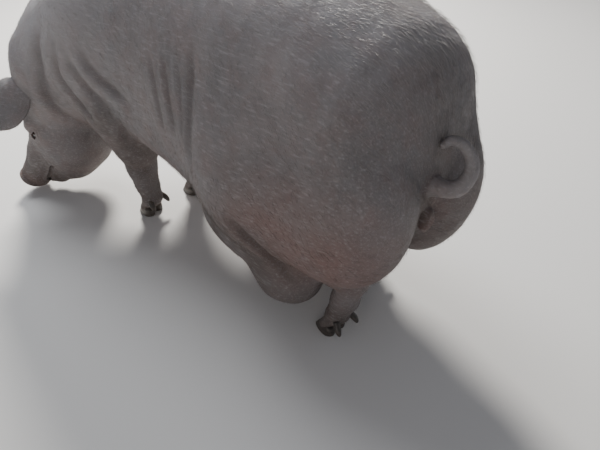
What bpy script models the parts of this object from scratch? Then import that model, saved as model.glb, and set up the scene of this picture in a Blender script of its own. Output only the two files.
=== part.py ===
"""Domestic sow, standing with the head lowered to the floor and turned a little to its left.

It faces -X, its left side is -Y, +Z is up and the soles stand at z = 0. Lengths are metres.
The body is a field of named round forms, given for a straight spine and then bent sideways.
"""

import functools
import math

import bmesh
import bpy
import numpy as np
from mathutils import Vector

# Spine: a level arc, hollow on the left side
BEND_RADIUS = 3.4
BEND_X = 0.0
# Moves the finished sow so that its box is centred on x = y = 0
CENTRE_SHIFT = (0.1793, 0.0646)

# Trunk stations from the rump forward: x, back height, widest height, belly height, half width
TRUNK = (
    (0.595, 0.575, 0.545, 0.500, 0.020),
    (0.580, 0.705, 0.570, 0.450, 0.112),
    (0.545, 0.815, 0.595, 0.400, 0.202),
    (0.500, 0.864, 0.600, 0.365, 0.242),
    (0.440, 0.892, 0.590, 0.330, 0.260),
    (0.320, 0.932, 0.570, 0.275, 0.275),
    (0.160, 0.958, 0.540, 0.240, 0.285),
    (0.000, 0.965, 0.540, 0.245, 0.275),
    (-0.160, 0.955, 0.550, 0.280, 0.255),
    (-0.320, 0.930, 0.560, 0.320, 0.240),
    (-0.460, 0.900, 0.580, 0.360, 0.215),
    (-0.590, 0.850, 0.600, 0.410, 0.175),
    (-0.690, 0.770, 0.610, 0.500, 0.090),
)
TRUNK_SQUARENESS = 2.25

# Round forms as centre and radii; those off the middle are the left side's and are mirrored
BELLY = ((0.220, 0.0, 0.500), (0.310, 0.335, 0.320))
HAM = ((0.422, -0.145, 0.480), (0.187, 0.135, 0.205))
BUTTOCK = ((0.488, -0.122, 0.500), (0.145, 0.122, 0.217))
# The right side's buttock hangs this much lower, over the leg that stands ahead
BUTTOCK_DROP = 0.040
SHOULDER = ((-0.450, -0.130, 0.560), (0.150, 0.110, 0.260))
BRISKET = ((-0.520, 0.0, 0.440), (0.150, 0.130, 0.110))
# Udder: two long cushions under the belly, deepest at the back
UDDER = ((0.160, -0.130, 0.260), (0.260, 0.120, 0.130))
UDDER_BACK = ((0.280, -0.150, 0.180), (0.120, 0.100, 0.112))
# The right side's udder starts this far forward of its leg
UDDER_STEP = 0.060
TEAT_X = (0.330, 0.240, 0.140, 0.040, -0.070, -0.180, -0.290)
TEAT_Y = 0.110
TEAT_RADIUS = 0.008
TEAT_LENGTH = 0.022
TEAT_SPREAD = 1.06
# Heights tried for the skin above a teat: lowest, highest and their number
TEAT_SEARCH = (0.04, 0.44, 161)

# Feet: where the middle of each foot stands
FOOT = {
    "hind_left": (0.436, -0.115),
    "hind_right": (0.360, 0.115),
    "fore_left": (-0.468, -0.115),
    "fore_right": (-0.415, 0.075),
}
# How far back each leg has leant at the leaning height, more and more from the foot up
LEG_LEAN = {"hind_left": 0.0, "hind_right": 0.055, "fore_left": 0.013, "fore_right": 0.0}
LEAN_HEIGHT = 0.400
# Hind leg joints above its foot: x and y (inward positive) from the foot, height, radius
HIND_JOINTS = (
    (-0.036, -0.016, 0.400, 0.098),
    (-0.004, -0.004, 0.300, 0.061),
    (0.043, 0.020, 0.225, 0.041),
    (0.032, 0.014, 0.150, 0.036),
    (0.018, 0.004, 0.085, 0.036),
)
HOCK_POINT = (0.060, 0.026, 0.250)
HOCK_RADII = (0.022, 0.020, 0.038)
# Fore leg joints, the same way
FORE_JOINTS = (
    (0.010, -0.010, 0.420, 0.110),
    (0.014, -0.004, 0.320, 0.076),
    (0.006, 0.0, 0.210, 0.050),
    (0.012, 0.0, 0.140, 0.039),
    (0.026, 0.0, 0.082, 0.039),
)
# One toe: sideways step from the foot's middle, its two ends from the foot and its radii
TOE_STEP = 0.021
TOE_TOP = (0.020, 0.078, 0.022)
TOE_END = (-0.010, 0.030, 0.018)

# Claw: length, width, height of the wall at the toe, and how far it leans back
CLAW_LENGTH = 0.076
CLAW_WIDTH = 0.038
CLAW_HEIGHT = 0.046
CLAW_LEAN = 0.020
CLAW_HEEL = 0.030
DEWCLAW_AT = (0.062, 0.034, 0.072)
DEWCLAW_LENGTH = 0.030
DEWCLAW_RADIUS = 0.010

# Neck joints: x, y, z, radius
NECK = (
    (-0.560, -0.015, 0.640, 0.215),
    (-0.655, -0.047, 0.582, 0.186),
    (-0.762, -0.090, 0.508, 0.157),
    (-0.806, -0.104, 0.452, 0.130),
)
NAPE = ((-0.662, -0.040, 0.628), (0.160, 0.116, 0.088))
THROAT = ((-0.700, -0.080, 0.450), (0.160, 0.122, 0.112))

# Head: middle of the skull, the way the snout points and the way the forehead faces
SKULL = (-0.806, -0.100, 0.380)
HEAD_FORWARD = (-0.535, -0.265, -0.800)
HEAD_UP = (-0.93, -0.36, 0.0)
HEAD_SCALE = 1.14
# Sizes in the head's own directions: forward, up, left
CRANIUM = ((-0.008, -0.004, 0.0), (0.130, 0.094, 0.098))
FOREHEAD = ((0.060, 0.028, 0.0), (0.100, 0.055, 0.083))
CHEEK = ((0.075, -0.060, 0.068), (0.095, 0.080, 0.045))
JOWL = ((0.108, -0.098, 0.0), (0.122, 0.084, 0.102))
BROW = ((0.078, 0.052, 0.066), (0.045, 0.018, 0.026))
EAR_BASE = ((-0.052, 0.070, 0.066), (0.042, 0.036, 0.034))
MUZZLE = ((0.100, -0.005, 0.078), (0.210, -0.014, 0.061), (0.322, -0.008, 0.053))
CHIN = ((0.100, -0.110, 0.080), (0.190, -0.100, 0.062), (0.275, -0.078, 0.038))
DISC_AT = (0.348, -0.004, 0.0)
DISC_RADII = (0.014, 0.051, 0.061)
NOSTRIL = ((0.358, 0.000, 0.021), (0.018, 0.0115, 0.0085))
# Line of the mouth from the front back to its corner, and the lips just inside it
MOUTH = (
    (0.319, -0.058, 0.0, 0.0058),
    (0.306, -0.058, 0.034, 0.0058),
    (0.274, -0.060, 0.051, 0.0058),
    (0.220, -0.060, 0.064, 0.0052),
    (0.164, -0.072, 0.078, 0.0034),
)
LIPS = (
    (0.306, -0.058, 0.0),
    (0.296, -0.058, 0.026),
    (0.270, -0.060, 0.039),
    (0.220, -0.060, 0.052),
    (0.160, -0.074, 0.066),
)
LIP_RADIUS = 0.0125
EYE_AT = (0.112, 0.020, 0.078)
EYE_RADIUS = 0.0150
LID_RADIUS = 0.0185
# Opening between the lids: half length, half height, depth and how far out it lies
LID_SLIT = (0.0165, 0.0062, 0.0180)
LID_SLIT_OUT = 0.012
EYE_GAP = 0.0004
EYE_RINGS = 10
EYE_SIDES = 14

# Ear: root in the head's directions, length, widest half width, half angle of its curl and thickness
EAR_ROOT = (-0.066, 0.068, 0.062)
EAR_LENGTH = 0.235
EAR_HALF_WIDTH = 0.084
EAR_CURL = (0.45, 1.90)
EAR_THICKNESS = (0.013, 0.006)
# Share of its thickness the ear loses toward its edges
EAR_RIM_THIN = 0.55
# The ways it runs and its open side faces, at its root and past its flop
EAR_START = (0.10, 0.66, 0.74)
EAR_END = (0.95, -0.05, 0.32)
EAR_OPEN_START = (0.86, -0.30, 0.40)
EAR_OPEN_END = (0.15, -0.45, -0.85)
EAR_FLOP = 1.7
EAR_STEPS = 24

# Tail joints: x, y, z, radius; it curls up and over to the right
TAIL = (
    (0.560, 0.000, 0.566, 0.026),
    (0.605, 0.002, 0.562, 0.022),
    (0.642, 0.018, 0.570, 0.019),
    (0.654, 0.036, 0.600, 0.0165),
    (0.644, 0.044, 0.636, 0.0145),
    (0.622, 0.036, 0.662, 0.0125),
    (0.604, 0.018, 0.670, 0.0100),
    (0.598, 0.002, 0.662, 0.0075),
)
VULVA = ((0.600, 0.0, 0.465), (0.022, 0.020, 0.036))
VULVA_SLIT = (0.0075, 0.024)
ANUS = ((0.614, 0.0, 0.525), (0.017, 0.014, 0.014))

# Thin cuts between neighbours
CUT_GAP = 0.0003
NECK_CUT = ((-0.585, -0.020, 0.600), (-0.98, -0.20, 0.0))
HEAD_CUT = ((-0.728, -0.088, 0.395), (-0.82, -0.36, -0.44))
# Slanted tops of the legs: height and side place of the inner edge, rise per metre outwards, reach
FORE_CUT = (0.325, 0.010, 0.50, (-0.150, 0.110))
HIND_CUT = (0.290, 0.010, 0.50, (-0.060, 0.230))

# Mesh fineness, and the parts of the straight sow that each mesh covers
BODY_BOUNDS = ((-0.66, -0.36, 0.0), (0.68, 0.38, 1.00))
FRONT_BOUNDS = ((-1.18, -0.50, 0.0), (-0.50, 0.28, 0.98))
BODY_CELL = 0.0088
BODY_TRIANGLES = 6100
HEAD_CELL = 0.0048
FRONT_TRIANGLES = 5400
SMALLEST_BLOCK = 8
FAR = 1.0
# Samples on the outside that are turned inside get this share of a cell as their depth
PINCH_DEPTH = 0.1
LEG_OUT = 0.45
BOX_FACES = ((0, 1, 3, 2), (4, 6, 7, 5), (0, 4, 5, 1), (2, 3, 7, 6), (0, 2, 6, 4), (1, 5, 7, 3))

SKIN_COLOUR = (0.42, 0.30, 0.26)
HOOF_COLOUR = (0.10, 0.08, 0.07)
EYE_COLOUR = (0.03, 0.02, 0.015)


def unit(vector):
    vector = np.asarray(vector, float)
    return vector / np.linalg.norm(vector)


def head_frame():
    """Rows: the head's forward, up and left directions."""
    forward = unit(HEAD_FORWARD)
    up = np.asarray(HEAD_UP, float)
    up = unit(up - forward * up.dot(forward))
    return np.array((forward, up, np.cross(up, forward)))


HEAD_FRAME = head_frame()


def straighten(points):
    """World points as they'd be with a straight spine."""
    along = points[:, 0] - CENTRE_SHIFT[0] - BEND_X
    across = points[:, 1] - CENTRE_SHIFT[1] + BEND_RADIUS
    turn = np.arctan2(along, across)
    x = BEND_X + BEND_RADIUS * turn
    y = np.hypot(along, across) - BEND_RADIUS
    return np.column_stack((x, y, points[:, 2]))


def bend(points):
    """Points of the straight sow moved to where the bent spine carries them."""
    points = np.asarray(points, float).reshape(-1, 3)
    turn = (points[:, 0] - BEND_X) / BEND_RADIUS
    reach = BEND_RADIUS + points[:, 1]
    x = BEND_X + reach * np.sin(turn) + CENTRE_SHIFT[0]
    y = reach * np.cos(turn) - BEND_RADIUS + CENTRE_SHIFT[1]
    return np.column_stack((x, y, points[:, 2]))


def from_head(points):
    """Points given in the head's directions, as points of the straight sow."""
    return np.asarray(points, float).reshape(-1, 3) @ HEAD_FRAME * HEAD_SCALE + np.array(SKULL)


def mirrored(form, side):
    """A centre and radii given for the left side, as seen on side 1, the left, or -1, the right."""
    (x, y, z), radii = form
    return ((x, y * side, z), radii)


def union(a, b, soft):
    blend = np.clip(0.5 + 0.5 * (b - a) / soft, 0.0, 1.0)
    return b + (a - b) * blend - soft * blend * (1.0 - blend)


def cut(a, b, soft):
    return -union(-a, b, soft)


def ellipsoid(points, centre, radii):
    offset = points - np.array(centre)
    radii = np.array(radii)
    level = np.sqrt(((offset / radii) ** 2).sum(1))
    slope = np.sqrt(((offset / radii**2) ** 2).sum(1))
    return level * (level - 1.0) / np.maximum(slope, 1e-9)


def capsule(points, start, end, start_radius, end_radius):
    start = np.array(start, float)
    axis = np.array(end, float) - start
    share = np.clip((points - start) @ axis / axis.dot(axis), 0.0, 1.0)
    nearest = start + share[:, None] * axis
    radius = start_radius + share * (end_radius - start_radius)
    return np.linalg.norm(points - nearest, axis=1) - radius


def chain(points, joints, soft):
    """Capsules through joints, each joint being x, y, z, radius."""
    found = None
    for first, second in zip(joints[:-1], joints[1:]):
        piece = capsule(points, first[:3], second[:3], first[3], second[3])
        found = piece if found is None else union(found, piece, soft)
    return found


def station(x, column):
    """A smooth value along the trunk from its stations."""
    places = np.array([row[0] for row in TRUNK])[::-1]
    values = np.array([row[column] for row in TRUNK])[::-1]
    slopes = np.gradient(values, places)
    index = np.clip(np.searchsorted(places, x) - 1, 0, len(places) - 2)
    step = places[index + 1] - places[index]
    share = np.clip((x - places[index]) / step, 0.0, 1.0)
    rise = values[index + 1] - values[index]
    ease = share * share * (3.0 - 2.0 * share)
    start_pull = slopes[index] * step * share * (1.0 - share) ** 2
    end_pull = slopes[index + 1] * step * share**2 * (share - 1.0)
    return values[index] + rise * ease + start_pull + end_pull


def trunk(points):
    x = points[:, 0]
    top, widest, bottom, half = (station(x, column) for column in (1, 2, 3, 4))
    lift = points[:, 2] - widest
    tall = np.where(lift > 0.0, top - widest, widest - bottom)
    power = TRUNK_SQUARENESS
    side = np.abs(points[:, 1]) / half
    rise = np.abs(lift) / tall
    level = np.maximum((side**power + rise**power) ** (1.0 / power), 1e-6)
    slope = np.hypot(side ** (power - 1.0) / half, rise ** (power - 1.0) / tall) / level ** (power - 1.0)
    body = (level - 1.0) / np.maximum(slope, 1e-6)
    ends = np.maximum(x - TRUNK[0][0], TRUNK[-1][0] - x)
    return np.maximum(body, ends)


def leg_joints(foot, joints, side):
    """Joints of one leg; side is 1 for left and -1 for right."""
    x, y = FOOT[foot]
    found = []
    for step, inward, z, radius in joints:
        lean = LEG_LEAN[foot] * (z / LEAN_HEIGHT) ** 2
        found.append((x + step + lean, y + side * inward, z, radius))
    return found


def toes(points, foot):
    x, y = FOOT[foot]
    found = None
    for step in (-TOE_STEP, TOE_STEP):
        top = (x + TOE_TOP[0], y + step * 0.7, TOE_TOP[1])
        end = (x + TOE_END[0], y + step, TOE_END[1])
        toe = capsule(points, top, end, TOE_TOP[2], TOE_END[2])
        found = toe if found is None else union(found, toe, 0.006)
    return found


def legs(points):
    found = None
    for foot in FOOT:
        side = 1 if foot.endswith("left") else -1
        hind = foot.startswith("hind")
        joints = leg_joints(foot, HIND_JOINTS if hind else FORE_JOINTS, side)
        leg = chain(points, joints, 0.03)
        if hind:
            hock = leg_joints(foot, ((*HOCK_POINT, 0.0),), side)[0]
            leg = union(leg, ellipsoid(points, hock[:3], HOCK_RADII), 0.03)
        leg = union(leg, toes(points, foot), 0.02)
        found = leg if found is None else np.minimum(found, leg)
    return found


@functools.lru_cache(maxsize=None)
def teat_roots():
    """Where each teat leaves the underside of the torso."""
    heights = np.linspace(*TEAT_SEARCH)
    found = []
    for x in TEAT_X:
        for side in (-1, 1):
            level = (np.full_like(heights, x), np.full_like(heights, side * TEAT_Y))
            line = np.column_stack((*level, heights))
            lowest = heights[np.argmax(torso(line) < 0.0)]
            found.append((x, side * TEAT_Y, lowest))
    return found


def teats(points):
    found = None
    for x, y, z in teat_roots():
        base = (x, y, z + TEAT_LENGTH * 0.5)
        tip = (x, y * TEAT_SPREAD, z - TEAT_LENGTH)
        teat = capsule(points, base, tip, TEAT_RADIUS, TEAT_RADIUS * 0.75)
        found = teat if found is None else np.minimum(found, teat)
    return found


def torso(points):
    body = trunk(points)
    for side in (1, -1):
        body = union(body, ellipsoid(points, *mirrored(HAM, side)), 0.07)
        drop, step = (0.0, 0.0) if side == 1 else (BUTTOCK_DROP, UDDER_STEP)
        body = union(body, ellipsoid(points + (0.0, 0.0, drop), *mirrored(BUTTOCK, side)), 0.05)
        body = union(body, ellipsoid(points, *mirrored(SHOULDER, side)), 0.06)
        body = union(body, ellipsoid(points + (step, 0.0, 0.0), *mirrored(UDDER, side)), 0.04)
        body = union(body, ellipsoid(points + (step, 0.0, 0.0), *mirrored(UDDER_BACK, side)), 0.04)
    body = union(body, ellipsoid(points, *BELLY), 0.05)
    body = union(body, ellipsoid(points, *BRISKET), 0.07)
    return body


def under_tail(points, body):
    body = union(body, ellipsoid(points, *VULVA), 0.012)
    (x, _, z), _ = VULVA
    slit_radius, slit_half = VULVA_SLIT
    slit_top = (x + 0.022, 0.0, z + slit_half)
    slit_end = (x + 0.016, 0.0, z - slit_half)
    slit = capsule(points, slit_top, slit_end, slit_radius, slit_radius)
    body = cut(body, slit, 0.004)
    return cut(body, ellipsoid(points, *ANUS), 0.008)


def neck(points):
    found = chain(points, NECK, 0.06)
    found = union(found, ellipsoid(points, *NAPE), 0.09)
    return union(found, ellipsoid(points, *THROAT), 0.07)


def head(points):
    """The head with brows, lids, lips, mouth line, snout disc and nostrils."""
    local = (points - np.array(SKULL)) @ HEAD_FRAME.T / HEAD_SCALE
    mirror = local.copy()
    mirror[:, 2] = np.abs(mirror[:, 2])
    found = ellipsoid(local, *CRANIUM)
    found = union(found, ellipsoid(local, *FOREHEAD), 0.05)
    found = union(found, ellipsoid(mirror, *CHEEK), 0.05)
    found = union(found, ellipsoid(local, *JOWL), 0.06)
    found = union(found, chain(local, [(f, u, 0.0, r) for f, u, r in MUZZLE], 0.04), 0.05)
    found = union(found, chain(local, [(f, u, 0.0, r) for f, u, r in CHIN], 0.03), 0.035)
    found = union(found, ellipsoid(mirror, *BROW), 0.022)
    found = union(found, ellipsoid(mirror, *EAR_BASE), 0.030)
    found = union(found, ellipsoid(local, DISC_AT, DISC_RADII), 0.010)
    lid = ellipsoid(mirror, EYE_AT, (LID_RADIUS,) * 3)
    found = union(found, lid, 0.010)
    lips = chain(mirror, [(*place, LIP_RADIUS) for place in LIPS], 0.01)
    found = union(found, lips, 0.014)
    line = chain(mirror, MOUTH, 0.004)
    found = cut(found, line, 0.004)
    found = cut(found, ellipsoid(mirror, *NOSTRIL), 0.004)
    forward, up, left = EYE_AT
    slit = ellipsoid(mirror, (forward, up, left + LID_SLIT_OUT), LID_SLIT)
    return cut(found, slit, 0.002) * HEAD_SCALE


def where(points, chosen, form):
    """A form's field at the chosen points, and far away at the others."""
    found = np.full(len(points), FAR)
    if chosen.any():
        found[chosen] = form(points[chosen])
    return found


def sow(points):
    """The whole sow's flesh: below zero inside, about metres from the skin outside."""
    straight = straighten(points)
    x, z = straight[:, 0], straight[:, 2]
    body = where(straight, x > TRUNK[-1][0] - 0.30, torso)
    limbs = where(straight, z < 0.75, legs)
    limbs = union(limbs, where(straight, z < 0.40, teats), 0.012)
    body = union(body, limbs, 0.045)
    behind = x > VULVA[0][0] - 0.10
    body[behind] = under_tail(straight[behind], body[behind])
    body = union(body, where(straight, x < -0.20, neck), 0.10)
    return union(body, where(straight, x < SKULL[0] + 0.35, head), 0.045)


def sampled(field, low, high, cell):
    """The field on a grid, worked out only in blocks near the surface."""
    size = SMALLEST_BLOCK
    low = np.array(low, float)
    blocks = np.ceil((np.array(high) - low) / cell / size).astype(int)
    middle = [low[i] + (np.arange(blocks[i]) + 0.5) * size * cell for i in range(3)]
    centres = np.stack(np.meshgrid(*middle, indexing="ij"), -1).reshape(-1, 3)
    coarse = field(centres)
    reach = size * cell * math.sqrt(3.0) * 0.5 * 1.7
    near = np.abs(coarse) < reach
    values = np.repeat(coarse[:, None], size**3, 1)
    steps = (np.arange(size) - size / 2) * cell
    offsets = np.stack(np.meshgrid(steps, steps, steps, indexing="ij"), -1).reshape(-1, 3)
    inside = centres[near][:, None, :] + offsets[None]
    values[near] = field(inside.reshape(-1, 3)).reshape(-1, size**3)
    values = values.reshape(*blocks, size, size, size)
    values = values.transpose(0, 3, 1, 4, 2, 5).reshape(*(blocks * size))
    for axis in range(3):
        rim = np.moveaxis(values, axis, 0)
        rim[0] = np.maximum(rim[0], cell)
        rim[-1] = np.maximum(rim[-1], cell)
    return values


def without_pinches(values, cell):
    """Fills samples where the surface would meet itself, so that each edge has two faces."""
    for _ in range(6):
        found = 0
        for axis in range(3):
            layers = np.moveaxis(values, axis, 2)
            a, b = layers[:-1, :-1], layers[1:, :-1]
            c, d = layers[1:, 1:], layers[:-1, 1:]
            for first, second, other, last in ((a, c, b, d), (b, d, a, c)):
                pinched = (first < 0.0) & (second < 0.0) & (other >= 0.0) & (last >= 0.0)
                found += int(pinched.sum())
                other[pinched] = -PINCH_DEPTH * cell
        if not found:
            break
    return values


def net(values, low, cell):
    """One point in each cell that the surface crosses, and one square for each crossed edge."""
    inside = values < 0.0
    total = np.zeros([n - 1 for n in values.shape] + [3])
    count = np.zeros([n - 1 for n in values.shape])
    for axis in range(3):
        ahead = np.take(values, range(1, values.shape[axis]), axis)
        behind = np.take(values, range(values.shape[axis] - 1), axis)
        crossed = (ahead < 0.0) != (behind < 0.0)
        share = np.where(crossed, behind / np.where(crossed, behind - ahead, 1.0), 0.0)
        others = [other for other in range(3) if other != axis]
        for a in (0, 1):
            for b in (0, 1):
                window = [slice(None)] * 3
                window[others[0]] = slice(a, values.shape[others[0]] - 1 + a)
                window[others[1]] = slice(b, values.shape[others[1]] - 1 + b)
                hit = crossed[tuple(window)]
                place = np.zeros(hit.shape + (3,))
                place[..., axis] = share[tuple(window)]
                place[..., others[0]] = a
                place[..., others[1]] = b
                total += place * hit[..., None]
                count += hit
    used = count > 0
    number = np.full(used.shape, -1)
    number[used] = np.arange(used.sum())
    corner = np.argwhere(used)
    points = np.array(low) + (corner + total[used] / count[used][:, None]) * cell
    return points, net_squares(inside, number)


def net_squares(inside, number):
    squares = []
    for axis in range(3):
        first, second = [(axis + 1) % 3, (axis + 2) % 3]
        ahead = np.take(inside, range(1, inside.shape[axis]), axis)
        behind = np.take(inside, range(inside.shape[axis] - 1), axis)
        for leaving in (True, False):
            crossed = behind & ~ahead if leaving else ahead & ~behind
            at = np.argwhere(crossed)
            at = at[(at[:, first] > 0) & (at[:, second] > 0)]
            corners = []
            for back in ((1, 1), (0, 1), (0, 0), (1, 0)):
                cell = at.copy()
                cell[:, first] -= back[0]
                cell[:, second] -= back[1]
                corners.append(number[tuple(cell.T)])
            order = corners if leaving else corners[::-1]
            squares.append(np.column_stack(order))
    return np.concatenate(squares)


def new_object(name, points, faces):
    mesh = bpy.data.meshes.new(name)
    corners = [tuple(int(i) for i in face) for face in faces]
    mesh.from_pydata([tuple(point) for point in points], [], corners)
    mesh.validate()
    obj = bpy.data.objects.new(name, mesh)
    bpy.context.scene.collection.objects.link(obj)
    return obj


def settle(obj):
    """Replaces the object's mesh with what its modifiers make of it."""
    graph = bpy.context.evaluated_depsgraph_get()
    made = bpy.data.meshes.new_from_object(obj.evaluated_get(graph))
    obj.modifiers.clear()
    old = obj.data
    obj.data = made
    bpy.data.meshes.remove(old)


def thinned(obj, triangles):
    """Triangulates and decimates to about this many triangles."""
    obj.modifiers.new("triangles", "TRIANGULATE")
    settle(obj)
    ratio = triangles / len(obj.data.polygons)
    if ratio < 1.0:
        modifier = obj.modifiers.new("thin", "DECIMATE")
        modifier.ratio = ratio
        settle(obj)


def field_object(name, low, high, cell, triangles):
    values = without_pinches(sampled(sow, low, high, cell), cell)
    points, faces = net(values, low, cell)
    obj = new_object(name, points, faces)
    largest_only(obj)
    thinned(obj, triangles)
    return obj


def largest_only(obj):
    """Keeps the largest closed surface."""
    work = bmesh.new()
    work.from_mesh(obj.data)
    left = set(work.faces)
    islands = []
    while left:
        stack = [left.pop()]
        island = set(stack)
        while stack:
            for edge in stack.pop().edges:
                if len(edge.link_faces) > 2:
                    continue
                for face in edge.link_faces:
                    if face in left:
                        left.discard(face)
                        island.add(face)
                        stack.append(face)
        islands.append(island)
    biggest = max(islands, key=lambda island: sum(face.calc_area() for face in island))
    doomed = [face for island in islands if island is not biggest for face in island]
    bmesh.ops.delete(work, geom=doomed, context="FACES")
    work.to_mesh(obj.data)
    work.free()


def boolean(obj, other, operation):
    modifier = obj.modifiers.new(operation.lower(), "BOOLEAN")
    modifier.object = other
    modifier.operation = operation
    modifier.solver = "EXACT"
    settle(obj)
    largest_only(obj)


def discard(obj):
    mesh = obj.data
    bpy.data.objects.remove(obj)
    bpy.data.meshes.remove(mesh)


def copied(obj, name):
    twin = bpy.data.objects.new(name, obj.data.copy())
    bpy.context.scene.collection.objects.link(twin)
    return twin


def box(name, corner, axes, low, high):
    """A closed box given in its own directions from a corner point."""
    ends = [(low[i], high[i]) for i in range(3)]
    local = [(a, b, c) for a in ends[0] for b in ends[1] for c in ends[2]]
    obj = new_object(name, np.array(local) @ np.array(axes) + np.array(corner), BOX_FACES)
    face_out(obj)
    return obj


def face_out(obj):
    work = bmesh.new()
    work.from_mesh(obj.data)
    bmesh.ops.recalc_face_normals(work, faces=work.faces)
    if work.calc_volume(signed=True) < 0.0:
        bmesh.ops.reverse_faces(work, faces=work.faces)
    work.to_mesh(obj.data)
    work.free()


def plane_box(name, plane, reach):
    """A box that fills the side of a plane that its direction points to."""
    point, facing = plane
    facing = unit(facing)
    side = unit(np.cross(facing, (0.0, 0.0, 1.0)))
    axes = (facing, side, np.cross(facing, side))
    return box(name, point, axes, (0.0, -reach, -reach), (reach * 2.0, reach, reach))


def turned(plane):
    """The plane facing the other way."""
    point, facing = plane
    return (point, -np.asarray(facing))


def moved(plane, step):
    """The plane moved along the way it faces."""
    point, facing = plane
    return (np.array(point) + unit(facing) * step, facing)


def bent_plane(plane):
    """A plane of the straight sow, carried to the bent one."""
    point, facing = plane
    here = bend([point])[0]
    ahead = bend([np.array(point) + unit(facing) * 0.01])[0]
    return (here, unit(ahead - here))


def leg_box(name, foot, grow):
    """The block below a leg's slanted top, larger by grow on every side."""
    side = 1 if foot.endswith("left") else -1
    height, inner, rise, reach = HIND_CUT if foot.startswith("hind") else FORE_CUT
    fx, _ = FOOT[foot]
    ends = ((reach[0] - grow, inner - grow), (reach[1] + grow, LEG_OUT))
    points = []
    for x in (ends[0][0], ends[1][0]):
        for out in (ends[0][1], ends[1][1]):
            top = height + rise * (out - inner) + grow * 1.2
            points += [(fx + x, -side * out, -0.1), (fx + x, -side * out, top)]
    obj = new_object(name, bend(points), BOX_FACES)
    face_out(obj)
    return obj


def tube(name, joints, sides):
    """A closed round tube through joints of x, y, z, radius."""
    rings = smooth_joints(joints, 4)
    centres = rings[:, :3]
    ways = np.gradient(centres, axis=0)
    ways /= np.linalg.norm(ways, axis=1)[:, None]
    normal = unit(np.cross(ways[0], (0.0, 0.0, 1.0)))
    points = []
    for centre, way, radius in zip(centres, ways, rings[:, 3]):
        normal = unit(normal - way * normal.dot(way))
        other = np.cross(way, normal)
        for k in range(sides):
            angle = 2.0 * math.pi * k / sides
            points.append(centre + radius * (math.cos(angle) * normal + math.sin(angle) * other))
    faces = []
    for ring in range(len(rings) - 1):
        for k in range(sides):
            a, b = ring * sides + k, ring * sides + (k + 1) % sides
            faces.append((a, b, b + sides, a + sides))
    first, last = len(points), len(points) + 1
    points.append(centres[0] - ways[0] * rings[0, 3] * 0.5)
    points.append(centres[-1] + ways[-1] * rings[-1, 3] * 0.6)
    start = (len(rings) - 1) * sides
    for k in range(sides):
        faces.append(((k + 1) % sides, k, first))
        faces.append((start + k, start + (k + 1) % sides, last))
    obj = new_object(name, bend(points), faces)
    face_out(obj)
    return obj


def smooth_joints(joints, steps):
    """Points of a smooth curve through the joints, steps to each span."""
    joints = np.array(joints, float)
    padded = np.vstack((2 * joints[0] - joints[1], joints, 2 * joints[-1] - joints[-2]))
    found = []
    for i in range(len(joints) - 1):
        a, b, c, d = padded[i : i + 4]
        for step in range(steps):
            t = step / steps
            square = 2 * a - 5 * b + 4 * c - d
            cube = 3 * b - a - 3 * c + d
            found.append(0.5 * (2 * b + (c - a) * t + square * t**2 + cube * t**3))
    found.append(joints[-1])
    return np.array(found)


def ear_frame(along):
    """Unit ways at a share of the ear's length: along it, across it and out of its open side."""
    share = min(1.0, EAR_FLOP * along)
    share = share * share * (3.0 - 2.0 * share)
    way = unit(np.array(EAR_START) * (1.0 - share) + np.array(EAR_END) * share)
    facing = np.array(EAR_OPEN_START) * (1.0 - share) + np.array(EAR_OPEN_END) * share
    facing = unit(facing - way * facing.dot(way))
    return way, np.cross(facing, way), facing


def ear_sheet(along, across, side):
    """Middle of the ear's sheet: along runs 0 to 1 from root to tip, across from -1 to 1."""
    place = np.array(EAR_ROOT)
    for step in range(EAR_STEPS):
        part = min(max(along * EAR_STEPS - step, 0.0), 1.0)
        place = place + ear_frame((step + 0.5) / EAR_STEPS)[0] * part * EAR_LENGTH / EAR_STEPS
    _, wide, facing = ear_frame(along)
    leaf = (0.50 + 1.25 * along - 0.55 * along**2) * (1.0 - along**4) ** 0.8 + 0.03
    tip, root = EAR_CURL
    curl = tip + (root - tip) * (1.0 - along) ** 3
    radius = EAR_HALF_WIDTH * leaf / curl
    turn = curl * across
    place = place + wide * radius * math.sin(turn) + facing * radius * (1.0 - math.cos(turn))
    place[2] *= side
    return place


def ear(name, side):
    """A cupped closed leaf of two skins and a rim."""
    rows, columns = 12, 8
    alongs = np.linspace(0.0, 1.0, rows + 1)
    acrosses = np.linspace(-1.0, 1.0, columns + 1)
    middle = np.array([[ear_sheet(a, c, side) for c in acrosses] for a in alongs])
    down = np.gradient(middle, axis=0)
    wide = np.gradient(middle, axis=1)
    normal = np.cross(down, wide)
    normal /= np.linalg.norm(normal, axis=2)[..., None]
    root, tip = EAR_THICKNESS
    thick = (root + (tip - root) * alongs)[:, None, None] * 0.5
    thick = thick * (1.0 - EAR_RIM_THIN * acrosses[None, :, None] ** 4)
    front = (middle + normal * thick).reshape(-1, 3)
    back = (middle - normal * thick).reshape(-1, 3)
    points = bend(from_head(np.vstack((front, back))))
    width = columns + 1
    faces = []
    for r in range(rows):
        for c in range(columns):
            a = r * width + c
            faces.append((a, a + 1, a + 1 + width, a + width))
            faces.append(tuple(i + len(front) for i in (a + width, a + 1 + width, a + 1, a)))
    edge = [c for c in range(width)]
    edge += [r * width + columns for r in range(1, rows + 1)]
    edge += [rows * width + c for c in range(columns - 1, -1, -1)]
    edge += [r * width for r in range(rows - 1, 0, -1)]
    for a, b in zip(edge, edge[1:] + edge[:1]):
        faces.append((b, a, a + len(front), b + len(front)))
    obj = new_object(name, points, faces)
    face_out(obj)
    return obj


def claw_outline(share):
    """Half outline of the sole: forward place and side place for a share of the way round."""
    angle = 2.0 * math.pi * share
    forward = math.cos(angle)
    side = math.sin(angle)
    narrow = 1.0 - 0.28 * (forward + 0.1)
    return 0.5 * CLAW_LENGTH * forward, 0.5 * CLAW_WIDTH * side * min(narrow, 1.15)


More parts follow.
